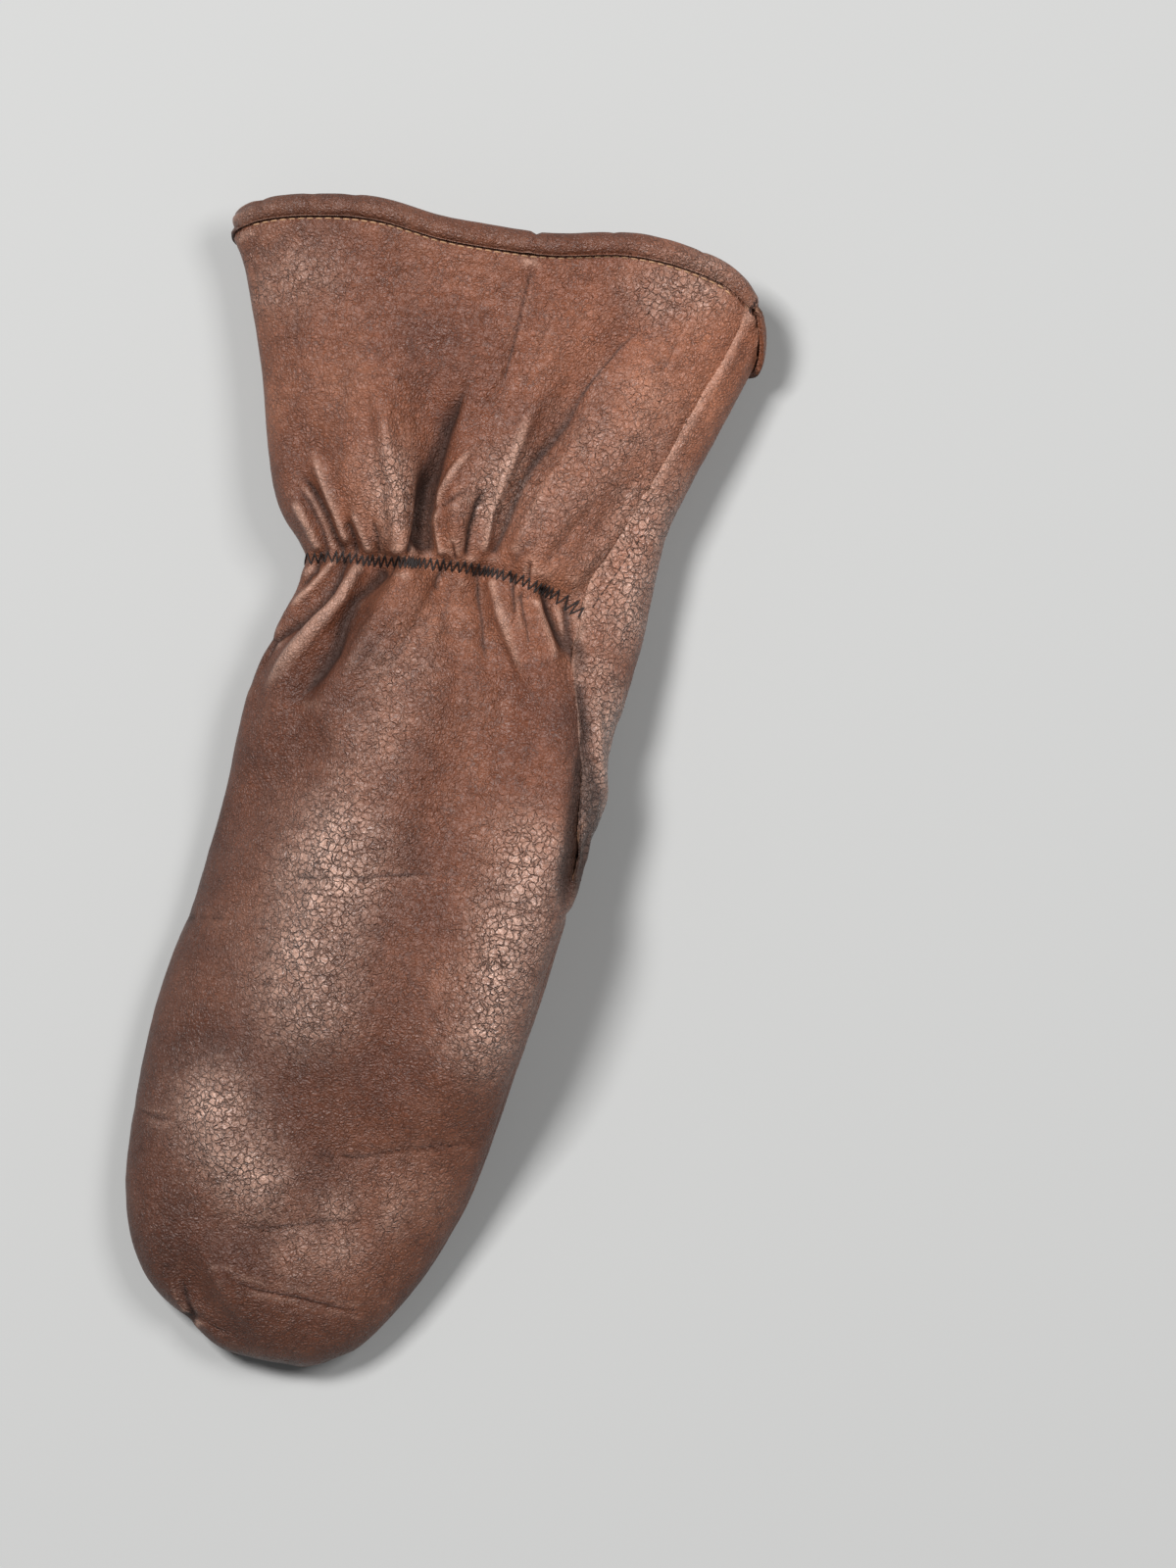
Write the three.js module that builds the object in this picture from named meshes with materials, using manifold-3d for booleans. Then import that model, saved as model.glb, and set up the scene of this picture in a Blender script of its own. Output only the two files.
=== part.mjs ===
// Leather mitten for the right hand, lying with the back of the hand up and the thumb tucked under.
// Millimetres. X runs across to the thumb side, Y from the fingertips to the cuff, Z up.

import * as THREE from 'three';
import { mergeVertices } from 'three/addons/utils/BufferGeometryUtils.js';
import Module from 'manifold-3d';

// Main sizes of the mitten
const mittenLength = 337;
const palmWidth = 107;
const wristWidth = 100;
const cuffWidth = 158;
const handHeight = 21;
const cuffHeight = 18;

// Leather, seams and hem
const leatherWall = 2;
const seamGap = 0.6;
const hemWidth = 8;
const hemLeaf = 1.5;
const hemClearance = 0.7;
const hemRoom = 0.6;

// Thumb
const thumbLength = 122;
const thumbWidth = 40;
const thumbHeight = 22;
const thumbStart = 78;
const thumbAcross = 25;
const thumbClearance = 1.4;
const thumbApproach = 8;
const thumbDrape = 24;

// Folds
const foldDepth = 4;
const foldWidth = 10;

// How finely the leather is cut into facets
const backColumns = 30;
const palmColumns = 20;
const thumbColumns = 20;
const turnLength = 9;
const hollowRings = 26;

// Roundness of the sections: 2 is an ellipse, more is squarer
const sectionPower = 2.2;

const degree = Math.PI / 180;

// Lengths too short to see, which keep divisions and joins sound
const tinyLength = 0.001;
const shortLength = 0.01;

// Sections of the body from fingertips to cuff, in three tables, each with the width and height that it
// follows. left and right are shares of the width. low and high are the heights of the little-finger and
// thumb edges, and crown and belly the rise and fall from the line between them, as shares of the height.
const handSections = [
  { along: 0.000, left: -0.157, right: 0.006, low: 0.43, high: 0.43, crown: 0.00, belly: 0.00 },
  { along: 0.004, left: -0.204, right: 0.045, low: 0.43, high: 0.43, crown: 0.26, belly: 0.19 },
  { along: 0.012, left: -0.251, right: 0.094, low: 0.43, high: 0.43, crown: 0.43, belly: 0.31 },
  { along: 0.025, left: -0.310, right: 0.157, low: 0.43, high: 0.43, crown: 0.57, belly: 0.42 },
  { along: 0.037, left: -0.387, right: 0.186, low: 0.43, high: 0.45, crown: 0.67, belly: 0.47 },
  { along: 0.056, left: -0.449, right: 0.227, low: 0.43, high: 0.48, crown: 0.76, belly: 0.50 },
  { along: 0.077, left: -0.492, right: 0.267, low: 0.45, high: 0.50, crown: 0.83, belly: 0.52 },
  { along: 0.104, left: -0.523, right: 0.308, low: 0.45, high: 0.52, crown: 0.88, belly: 0.54 },
  { along: 0.134, left: -0.546, right: 0.346, low: 0.45, high: 0.60, crown: 0.93, belly: 0.57 },
  { along: 0.178, left: -0.552, right: 0.389, low: 0.45, high: 0.76, crown: 0.98, belly: 0.57 },
  { along: 0.231, left: -0.555, right: 0.417, low: 0.43, high: 1.14, crown: 1.00, belly: 0.55 },
  { along: 0.273, left: -0.552, right: 0.435, low: 0.40, high: 1.48, crown: 1.02, belly: 0.57 },
  { along: 0.323, left: -0.531, right: 0.461, low: 0.38, high: 1.71, crown: 1.05, belly: 0.57 },
  { along: 0.374, left: -0.495, right: 0.479, low: 0.38, high: 1.79, crown: 1.05, belly: 0.57 },
  { along: 0.424, left: -0.481, right: 0.491, low: 0.45, high: 1.76, crown: 1.02, belly: 0.62 },
  { along: 0.475, left: -0.465, right: 0.505, low: 0.55, high: 1.57, crown: 0.98, belly: 0.76 },
  { along: 0.522, left: -0.461, right: 0.516, low: 0.67, high: 1.33, crown: 0.95, belly: 0.88 },
];
const wristSections = [
  { along: 0.573, left: -0.482, right: 0.565, low: 0.76, high: 1.14, crown: 0.95, belly: 0.93 },
  { along: 0.608, left: -0.458, right: 0.586, low: 0.81, high: 1.05, crown: 0.93, belly: 0.94 },
  { along: 0.644, left: -0.406, right: 0.598, low: 0.83, high: 0.95, crown: 0.88, belly: 0.93 },
  { along: 0.682, left: -0.398, right: 0.604, low: 0.83, high: 0.90, crown: 0.80, belly: 0.91 },
  { along: 0.712, left: -0.490, right: 0.605, low: 0.83, high: 0.88, crown: 0.88, belly: 0.88 },
];
const cuffSections = [
  { along: 0.748, left: -0.342, right: 0.386, low: 0.97, high: 1.00, crown: 1.08, belly: 1.00 },
  { along: 0.789, left: -0.367, right: 0.409, low: 0.94, high: 0.97, crown: 1.08, belly: 0.97 },
  { along: 0.831, left: -0.391, right: 0.437, low: 0.92, high: 0.94, crown: 1.06, belly: 0.94 },
  { along: 0.875, left: -0.423, right: 0.467, low: 0.89, high: 0.92, crown: 1.03, belly: 0.92 },
  { along: 0.920, left: -0.460, right: 0.496, low: 0.86, high: 0.89, crown: 1.00, belly: 0.89 },
  { along: 0.964, left: -0.492, right: 0.506, low: 0.86, high: 0.86, crown: 1.00, belly: 0.87 },
  { along: 1.020, left: -0.500, right: 0.508, low: 0.86, high: 0.86, crown: 1.00, belly: 0.87 },
];
const sectionTables = [
  { rows: handSections, width: palmWidth, height: handHeight },
  { rows: wristSections, width: wristWidth, height: handHeight },
  { rows: cuffSections, width: cuffWidth, height: cuffHeight },
];

// Seam on the thumb side between the back panel and the palm pieces, as an angle up from the edge
const thumbSideSeam = [
  { along: 0.000, angle: 0 },
  { along: 0.100, angle: 4 },
  { along: 0.360, angle: 8 },
  { along: 0.458, angle: 13 },
  { along: 0.516, angle: 26 },
  { along: 0.565, angle: 35 },
  { along: 0.614, angle: 46 },
  { along: 0.650, angle: 52 },
  { along: 0.690, angle: 52 },
  { along: 0.735, angle: 41 },
  { along: 0.780, angle: 35 },
  { along: 0.880, angle: 31 },
  { along: 0.953, angle: 26 },
  { along: 1.000, angle: 25 },
];

// Join on the little-finger side, rolled a little under the edge
const littleFingerJoin = [
  { along: 0.000, angle: 180 },
  { along: 0.100, angle: 196 },
  { along: 0.200, angle: 200 },
  { along: 1.000, angle: 200 },
];

// Slanting palm seam: its place along the mitten at each angle round it, ending at the thumb-side seam
const seamMeeting = 0.422;
const palmSeam = [
  { angle: 196, along: 0.612 },
  { angle: 215, along: 0.580 },
  { angle: 238, along: 0.520 },
  { angle: 255, along: 0.445 },
  { angle: 268, along: 0.414 },
  { angle: 300, along: 0.412 },
  { angle: 345, along: seamMeeting },
];

// Edge of the cuff at each angle round it, starting on the thumb side
const cuffEdge = [
  { angle: -30, along: 0.916 },
  { angle: 0, along: 0.922 },
  { angle: 22, along: 0.966 },
  { angle: 40, along: 0.991 },
  { angle: 63, along: 1.000 },
  { angle: 85, along: 0.985 },
  { angle: 100, along: 0.983 },
  { angle: 116, along: 0.990 },
  { angle: 138, along: 0.981 },
  { angle: 180, along: 0.955 },
  { angle: 210, along: 0.944 },
  { angle: 270, along: 0.926 },
  { angle: 330, along: 0.916 },
];

// Folds on the back, deep ones negative and hills positive. depth is a share of foldDepth, width a share
// of foldWidth, and each path point is [share of the half width, share of the length].
const backFolds = [
  { depth: -0.9, width: 0.9, path: [[-0.74, 0.680], [-0.72, 0.715], [-0.78, 0.770]] },
  { depth: -0.7, width: 0.7, path: [[-0.64, 0.682], [-0.60, 0.716]] },
  { depth: -0.8, width: 0.8, path: [[-0.52, 0.682], [-0.46, 0.713], [-0.42, 0.752]] },
  { depth: -1.1, width: 1.0, path: [[-0.18, 0.682], [-0.20, 0.725], [-0.20, 0.790], [-0.25, 0.840]] },
  { depth: -0.9, width: 0.8, path: [[0.01, 0.682], [0.07, 0.722], [0.12, 0.745]] },
  { depth: -1.0, width: 0.9, path: [[0.14, 0.684], [0.20, 0.740], [0.33, 0.843], [0.62, 0.950]] },
  { depth: -0.8, width: 1.0, path: [[0.60, 0.690], [0.74, 0.723], [0.80, 0.770]] },
  { depth: 0.8, width: 1.2, path: [[-0.36, 0.703], [-0.38, 0.750], [-0.48, 0.835]] },
  { depth: 0.6, width: 0.9, path: [[-0.08, 0.703], [-0.09, 0.775]] },
  { depth: 0.6, width: 1.2, path: [[0.40, 0.715], [0.49, 0.760], [0.65, 0.860]] },
  { depth: -0.9, width: 0.9, path: [[-0.84, 0.660], [-0.90, 0.616], [-0.94, 0.550]] },
  { depth: -0.9, width: 0.9, path: [[-0.54, 0.675], [-0.65, 0.641], [-0.74, 0.562]] },
  { depth: 0.7, width: 1.0, path: [[-0.72, 0.650], [-0.80, 0.600], [-0.85, 0.560]] },
  { depth: 0.7, width: 1.2, path: [[-0.38, 0.659], [-0.47, 0.609], [-0.57, 0.550]] },
  { depth: -0.7, width: 0.7, path: [[-0.12, 0.677], [-0.12, 0.645]] },
  { depth: -0.9, width: 0.8, path: [[0.02, 0.677], [0.10, 0.656], [0.31, 0.625], [0.46, 0.570]] },
  { depth: -0.8, width: 0.8, path: [[0.44, 0.677], [0.56, 0.650], [0.66, 0.625]] },
  { depth: 0.6, width: 0.9, path: [[0.18, 0.660], [0.30, 0.650]] },
  {
    depth: -1.0,
    width: 2.2,
    path: [[0.02, 0.630], [0.20, 0.565], [0.28, 0.500], [0.34, 0.400], [0.42, 0.290]],
  },
  { depth: 1.1, width: 2.4, path: [[-0.05, 0.570], [-0.20, 0.500], [-0.27, 0.420], [-0.22, 0.330]] },
  { depth: 0.7, width: 1.8, path: [[0.78, 0.546], [0.82, 0.470], [0.77, 0.380], [0.74, 0.287]] },
  { depth: 0.6, width: 2.0, path: [[-0.54, 0.219], [-0.33, 0.177], [-0.16, 0.168]] },
  { depth: -0.6, width: 1.1, path: [[-0.95, 0.437], [-0.80, 0.475], [-0.57, 0.524]] },
  { depth: -0.4, width: 0.9, path: [[-0.46, 0.414], [0.01, 0.425], [0.39, 0.442]] },
  { depth: -0.4, width: 0.9, path: [[0.02, 0.181], [0.31, 0.193], [0.84, 0.219]] },
  { depth: -0.4, width: 0.9, path: [[-0.40, 0.100], [0.00, 0.117], [0.43, 0.135]] },
  { depth: -0.9, width: 0.8, path: [[-0.47, 0.012], [-0.58, 0.040], [-0.62, 0.065]] },
];

// Folds on the palm side, stated the same way
const palmFolds = [
  { depth: 0.7, width: 1.6, path: [[-0.80, 0.600], [-0.50, 0.520], [-0.15, 0.430]] },
  { depth: -0.5, width: 1.2, path: [[-0.85, 0.540], [-0.55, 0.460], [-0.25, 0.380]] },
  { depth: -0.5, width: 1.4, path: [[-0.30, 0.690], [-0.35, 0.780], [-0.45, 0.860]] },
  { depth: -0.5, width: 1.4, path: [[0.35, 0.700], [0.40, 0.790], [0.50, 0.860]] },
];

// Sections of the thumb from its tip to its root inside the palm
const thumbSections = [
  { along: 0.000, half: 0.00, top: 0.45, bottom: 0.45, shift: -0.03 },
  { along: 0.012, half: 0.38, top: 0.66, bottom: 0.22, shift: -0.03 },
  { along: 0.040, half: 0.62, top: 0.80, bottom: 0.06, shift: -0.02 },
  { along: 0.090, half: 0.82, top: 0.91, bottom: -0.04, shift: 0.00 },
  { along: 0.170, half: 0.95, top: 0.98, bottom: -0.08, shift: 0.02 },
  { along: 0.300, half: 1.00, top: 1.00, bottom: -0.09, shift: 0.03 },
  { along: 0.450, half: 1.00, top: 1.00, bottom: -0.09, shift: 0.03 },
  { along: 0.600, half: 1.01, top: 1.00, bottom: -0.09, shift: 0.04 },
  { along: 0.750, half: 1.00, top: 1.04, bottom: -0.06, shift: 0.05 },
  { along: 0.900, half: 0.90, top: 1.04, bottom: 0.14, shift: 0.05 },
  { along: 1.000, half: 0.66, top: 1.04, bottom: 0.50, shift: 0.05 },
];

// Places along the body and the thumb where the facets are cut, as shares of their lengths
const bodyRows = [
  0, 0.004, 0.012, 0.025, 0.04, 0.058, 0.08, 0.107, 0.138, 0.17, 0.203, 0.236, 0.27, 0.304, 0.338,
  0.37, 0.397, seamMeeting, 0.446, 0.472, 0.498, 0.524, 0.551, 0.578, 0.602, 0.624, 0.643, 0.66, 0.676, 0.69,
  0.705, 0.721, 0.739, 0.759, 0.782, 0.808, 0.838, 0.87, 0.904, 0.937, 0.97, 1,
];
const thumbRows = [0.006, 0.025, 0.06, 0.11, 0.18, 0.28, 0.4, 0.52, 0.64, 0.76, 0.88, 1];
const palmRows = bodyRows.filter((share) => share <= seamMeeting);
const wristRows = bodyRows.filter((share) => share >= seamMeeting);

// Reads a table at a place by smooth steps between its rows.
function readTable(rows, key, place, column) {
  const last = rows.length - 1;
  if (place <= rows[0][key]) {
    return rows[0][column];
  }
  if (place >= rows[last][key]) {
    return rows[last][column];
  }
  let index = 0;
  while (rows[index + 1][key] < place) {
    index += 1;
  }
  const before = rows[Math.max(index - 1, 0)];
  const start = rows[index];
  const end = rows[index + 1];
  const after = rows[Math.min(index + 2, last)];
  const span = end[key] - start[key];
  const share = (place - start[key]) / span;
  const startSlope = slopeBetween(before, start, end, key, column) * span;
  const endSlope = slopeBetween(start, end, after, key, column) * span;
  const square = share * share;
  const cube = square * share;
  return (2 * cube - 3 * square + 1) * start[column] + (cube - 2 * square + share) * startSlope
    + (3 * square - 2 * cube) * end[column] + (cube - square) * endSlope;
}

// Slope of a table column at the middle one of three rows, flat where the column turns.
function slopeBetween(before, middle, after, key, column) {
  const earlier = before === middle
    ? (after[column] - middle[column]) / (after[key] - middle[key])
    : (middle[column] - before[column]) / (middle[key] - before[key]);
  const later = after === middle
    ? earlier
    : (after[column] - middle[column]) / (after[key] - middle[key]);
  if (earlier * later <= 0) {
    return 0;
  }
  return 2 * earlier * later / (earlier + later);
}

function mix(start, end, share) {
  return start + (end - start) * share;
}

// Rises smoothly from 0 at the start to 1 at the end.
function ease(start, end, place) {
  const share = Math.min(Math.max((place - start) / (end - start), 0), 1);
  return share * share * (3 - 2 * share);
}

function signedPower(value, power) {
  return Math.sign(value) * Math.abs(value) ** power;
}

// The larger of two heights, rounded off over a short width where they cross.
function smoothMax(first, second, width) {
  const apart = Math.max(width - Math.abs(first - second), 0) / width;
  return Math.max(first, second) + apart * apart * width / 4;
}

const widthColumns = ['left', 'right'];
const heightColumns = ['low', 'high', 'crown', 'belly'];
const sizedSections = sectionTables.flatMap(({ rows, width, height }) => rows.map((row) => {
  const sized = { along: row.along * mittenLength };
  for (const column of widthColumns) {
    sized[column] = row[column] * width;
  }
  for (const column of heightColumns) {
    sized[column] = row[column] * height;
  }
  return sized;
}));

// Section of the body at a distance from the fingertips.
function sectionAt(along) {
  const row = {};
  for (const column of [...widthColumns, ...heightColumns]) {
    row[column] = readTable(sizedSections, 'along', along, column);
  }
  row.centre = (row.left + row.right) / 2;
  row.half = (row.right - row.left) / 2;
  return row;
}

// Fold tables with their sizes and path points in millimetres
function sizedFolds(rows) {
  return rows.map((row) => ({
    depth: row.depth * foldDepth,
    width: row.width * foldWidth,
    path: row.path.map(([across, along]) => {
      const section = sectionAt(along * mittenLength);
      return [section.centre + section.half * across, along * mittenLength];
    }),
  }));
}

const sizedBackFolds = sizedFolds(backFolds);
const sizedPalmFolds = sizedFolds(palmFolds);

// Distance in plan from a point to a path of straight pieces.
function distanceToPath(x, y, path) {
  let nearest = Infinity;
  for (let index = 0; index < path.length - 1; index += 1) {
    const [startX, startY] = path[index];
    const runX = path[index + 1][0] - startX;
    const runY = path[index + 1][1] - startY;
    const reach = ((x - startX) * runX + (y - startY) * runY) / (runX * runX + runY * runY);
    const share = Math.min(Math.max(reach, 0), 1);
    nearest = Math.min(nearest, Math.hypot(x - startX - runX * share, y - startY - runY * share));
  }
  return nearest;
}

// Rise of the leather over its plain shape, added up over a fold table.
function foldRise(x, y, folds) {
  let rise = 0;
  for (const fold of folds) {
    const distance = distanceToPath(x, y, fold.path) / fold.width;
    if (distance < 1) {
      rise += fold.depth * (1 + Math.cos(Math.PI * distance)) / 2;
    }
  }
  return rise;
}

// Distance from the fingertips over which the inner face catches up with the outer one
const tipRound = 0.13 * mittenLength;
const tipEdge = 0.036 * mittenLength;
const crotch = 0.414 * mittenLength;
const crotchBlend = 0.07 * mittenLength;
const restRounding = 3;

// Share of the thumb's half width over which its top carries the palm
const thumbFlat = 0.8;

// Rises round a section, as sines, between which the folds of the back and of the palm set in
const backSetIn = { start: 0.1, end: 0.5 };
const palmSetIn = { start: 0.4, end: 0.8 };

// The hem under the cuff lifts the leather off the floor by its own thickness.
const hemOutside = hemClearance + hemLeaf;
const hemLiftStart = 0.82 * mittenLength;
const hemLiftEnd = 0.88 * mittenLength;

// The folds of the back fade out before the hem.
const hemFadeStart = 0.88 * mittenLength;
const hemFadeEnd = 0.955 * mittenLength;

// Height of the top of the thumb over the floor at a place in plan, or a low value beside it.
function thumbTopAt(x, y) {
  const along = (y - thumbStart + thumbApproach) / thumbLength;
  const reached = Math.max(along, 0);
  const half = readTable(thumbSections, 'along', reached, 'half') * thumbWidth / 2;
  const top = readTable(thumbSections, 'along', reached, 'top') * thumbHeight;
  const shift = readTable(thumbSections, 'along', reached, 'shift') * thumbLength;
  const beside = Math.max(Math.abs(x - thumbAcross - shift) - half * thumbFlat, 0) / thumbDrape;
  const before = Math.max(-along * thumbLength, 0) / thumbDrape;
  return top * (1 - ease(0, 1, Math.hypot(beside, before)));
}

// Point of the body wall at an angle round the section and a distance along it. inset is the depth under
// the outer face.
function bodyPoint(angle, along, inset) {
  const tipShare = Math.max(1 - along / tipRound, 0);
  const edgeShare = Math.min(along / tipEdge, 1);
  const place = along + inset * tipShare;
  const section = sectionAt(along);
  const across = signedPower(Math.cos(angle), 2 / sectionPower);
  const lift = signedPower(Math.sin(angle), 2 / sectionPower);
  const half = section.half - inset * edgeShare;
  const radius = (lift > 0 ? section.crown : section.belly) - inset * edgeShare;
  let x = section.centre + half * across;
  let z = mix(section.low, section.high, (across + 1) / 2) + radius * lift;
  const folds = lift > 0 ? sizedBackFolds : sizedPalmFolds;
  const depth = lift > 0 ? section.crown : section.belly;
  const outX = across * depth;
  const outZ = lift * section.half;
  const outLength = Math.hypot(outX, outZ) + tinyLength;
  const setIn = lift > 0 ? backSetIn : palmSetIn;
  const strength = ease(setIn.start, setIn.end, Math.abs(lift)) * (1 - ease(hemFadeStart, hemFadeEnd, along));
  const outerX = section.centre + section.half * across;
  const rise = foldRise(outerX, along, folds) * strength * edgeShare;
  x += rise * outX / outLength;
  z += rise * outZ / outLength;
  if (lift < 0) {
    const under = 1 - ease(crotch, crotch + crotchBlend, along);
    const support = (thumbTopAt(x, place) + thumbClearance) * under;
    const hemLift = hemOutside * ease(hemLiftStart, hemLiftEnd, along);
    const rest = Math.max(support, hemLift);
    const rounding = Math.min(Math.max(support, 0), restRounding) + shortLength;
    z = smoothMax(z, rest + inset, rounding);
  }
  return new THREE.Vector3(x, place, z);
}

// Angles round one section that part it into equal lengths of leather, with shorter facets where it turns.
function evenAngles(start, end, along, count) {
  const samples = 72;
  const firstStep = 0.02;
  const lengths = [0];
  let previous = bodyPoint(start, along, 0);
  let heading = bodyPoint(start + firstStep, along, 0).sub(previous);
  for (let index = 1; index <= samples; index += 1) {
    const point = bodyPoint(mix(start, end, index / samples), along, 0);
    const run = point.clone().sub(previous);
    const turn = run.length() > shortLength ? run.angleTo(heading) : 0;
    lengths.push(lengths[index - 1] + Math.max(run.length() + turnLength * turn, tinyLength));
    previous = point;
    heading = run;
  }
  const angles = [];
  let sample = 0;
  for (let index = 0; index <= count; index += 1) {
    const wanted = lengths[samples] * index / count;
    while (sample < samples - 1 && lengths[sample + 1] < wanted) {
      sample += 1;
    }
    const share = (wanted - lengths[sample]) / (lengths[sample + 1] - lengths[sample]);
    angles.push(mix(start, end, (sample + Math.min(share, 1)) / samples));
  }
  return angles;
}

const seamAngleAt = (along) => readTable(thumbSideSeam, 'along', along / mittenLength, 'angle') * degree;
const joinAngleAt = (along) => readTable(littleFingerJoin, 'along', along / mittenLength, 'angle') * degree;
const palmSeamAt = (angle) => readTable(palmSeam, 'angle', angle / degree, 'along') * mittenLength;
const hemNose = hemLeaf + hemClearance + hemRoom;

// Angle past which the cuff edge's table is read from its start again
const cuffTableEnd = 324 * degree;

// Distance along at which the panels end inside the hem, at an angle round the cuff.
function cuffEdgeAt(angle) {
  const turned = angle > cuffTableEnd ? angle - 2 * Math.PI : angle;
  return readTable(cuffEdge, 'angle', turned / degree, 'along') * mittenLength - hemNose;
}

// Share of the length from which the rows of facets bend to the cuff edge, and how late the bend comes
const bendStart = 0.66;
const bendPower = 1.5;

// Distance along of a row of facets at an angle. Rows near the cuff bend to its edge.
function rowPlace(share, angle) {
  const bend = Math.max((share - bendStart) / (1 - bendStart), 0) ** bendPower;
  return share * mittenLength + (cuffEdgeAt(angle) - mittenLength) * bend;
}

// Angle and distance along where a row of facets meets an edge of a panel.
function rowEnd(share, edgeAngleAt, place) {
  const rounds = 8;
  let along = share * mittenLength;
  let angle = edgeAngleAt(along);
  for (let round = 0; round < rounds; round += 1) {
    along = place(share, angle);
    angle = edgeAngleAt(along);
  }
  return { along, angle };
}

// Angle that leaves half a seam gap at an edge of a panel.
function gapAngle(angle, along) {
  const step = 0.01;
  const leastRadius = 3;
  const reach = bodyPoint(angle + step, along, 0).distanceTo(bodyPoint(angle - step, along, 0));
  return seamGap / 2 / Math.max(reach / (2 * step), leastRadius);
}

// Lays a grid of points over the body between two edges. place gives the distance along for a row share
// and an angle. side is 1 for the back and -1 for the palm.
function bodyGrid(rows, columns, edges, place, side, inset) {
  return rows.map((share) => {
    const start = rowEnd(share, edges[0], place);
    const end = rowEnd(share, edges[1], place);
    const startAngle = start.angle + gapAngle(start.angle, start.along);
    const endAngle = end.angle - gapAngle(end.angle, end.along);
    const middle = place(share, (startAngle + endAngle) / 2);
    return evenAngles(startAngle, endAngle, middle, columns).map((angle) => {
      const along = place(share, angle);
      const point = bodyPoint(angle, along, inset);
      point.z += side * seamGap / 2 * Math.max(1 - along / tipRound, 0);
      return point;
    });
  });
}

// Geometry from a list of corner points and a list of triangles.
function geometryFrom(points, triangles) {
  const geometry = new THREE.BufferGeometry();
  const values = new Float32Array(points.length * 3);
  points.forEach((point, index) => point.toArray(values, index * 3));
  geometry.setAttribute('position', new THREE.BufferAttribute(values, 3));
  geometry.setIndex(triangles);
  return facingOut(geometry);
}

// Turns a closed geometry's faces outward.
function facingOut(geometry) {
  const position = geometry.getAttribute('position');
  const index = geometry.getIndex().array;
  const corners = [new THREE.Vector3(), new THREE.Vector3(), new THREE.Vector3()];
  let volume = 0;
  for (let face = 0; face < index.length; face += 3) {
    corners.forEach((corner, order) => corner.fromBufferAttribute(position, index[face + order]));
    volume += corners[0].dot(corners[1].cross(corners[2]));
  }
  if (volume < 0) {
    const flipped = [];
    for (let face = 0; face < index.length; face += 3) {
      flipped.push(index[face], index[face + 2], index[face + 1]);
    }
    geometry.setIndex(flipped);
  }
  return geometry;
}

// Closes an outer and an inner grid of points into one panel with walls along all four edges.
function panelFrom(outer, inner) {
  const rowCount = outer.length;
  const columnCount = outer[0].length;
  const points = [...outer.flat(), ...inner.flat()];
  const innerStart = rowCount * columnCount;
  const at = (row, column) => row * columnCount + column;
  const triangles = [];
  const addQuad = (first, second, third, fourth) => {
    triangles.push(first, second, third, first, third, fourth);
  };
  for (let row = 0; row < rowCount - 1; row += 1) {
    for (let column = 0; column < columnCount - 1; column += 1) {
      addQuad(at(row, column), at(row, column + 1), at(row + 1, column + 1), at(row + 1, column));
      addQuad(
        innerStart + at(row, column),
        innerStart + at(row + 1, column),
        innerStart + at(row + 1, column + 1),
        innerStart + at(row, column + 1),
      );
    }
  }
  const addWall = (first, second) => {
    addQuad(second, first, innerStart + first, innerStart + second);
  };
  for (let column = 0; column < columnCount - 1; column += 1) {
    addWall(at(0, column), at(0, column + 1));
    addWall(at(rowCount - 1, column + 1), at(rowCount - 1, column));
  }
  for (let row = 0; row < rowCount - 1; row += 1) {
    addWall(at(row + 1, 0), at(row, 0));
    addWall(at(row, columnCount - 1), at(row + 1, columnCount - 1));
  }
  return geometryFrom(points, triangles);
}

// Side faces between rings that have the same number of points.
function tubeSides(rings) {
  const count = rings[0].length;
  const triangles = [];
  for (let ring = 0; ring < rings.length - 1; ring += 1) {
    for (let column = 0; column < count; column += 1) {
      const next = (column + 1) % count;
      const near = ring * count;
      const far = near + count;
      triangles.push(near + column, near + next, far + next, near + column, far + next, far + column);
    }
  }
  return triangles;
}

// Closes a run of round rings into one body with a fan at each end.
function roundTube(rings) {
  const points = rings.flat();
  const count = rings[0].length;
  const triangles = tubeSides(rings);
  const addEnd = (start, forward) => {
    const centre = new THREE.Vector3();
    for (let column = 0; column < count; column += 1) {
      centre.addScaledVector(points[start + column], 1 / count);
    }
    const middle = points.push(centre) - 1;
    for (let column = 0; column < count; column += 1) {
      const next = (column + 1) % count;
      const near = forward ? column : next;
      const far = forward ? next : column;
      triangles.push(start + near, start + far, middle);
    }
  };
  addEnd(0, false);
  addEnd((rings.length - 1) * count, true);
  return geometryFrom(points, triangles);
}

// Closes a run of rings that follow one flat profile into one body.
function profileTube(rings, profile) {
  const contour = profile.map(({ back, inset }) => new THREE.Vector2(back, inset));
  const turned = THREE.ShapeUtils.isClockWise(contour) ? -1 : 1;
  const triangles = tubeSides(rings);
  const last = (rings.length - 1) * profile.length;
  for (const face of THREE.ShapeUtils.triangulateShape(contour, [])) {
    const corners = face.map((index) => contour[index]);
    const [first, second, third] = THREE.ShapeUtils.area(corners) * turned > 0 ? face : [...face].reverse();
    triangles.push(third, second, first, last + first, last + second, last + third);
  }
  return geometryFrom(rings.flat(), triangles);
}

// Shares of the thumb's length over which its tip closes, along it and across it
const thumbTipRound = 0.2;
const thumbTipEdge = 0.06;

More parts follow.
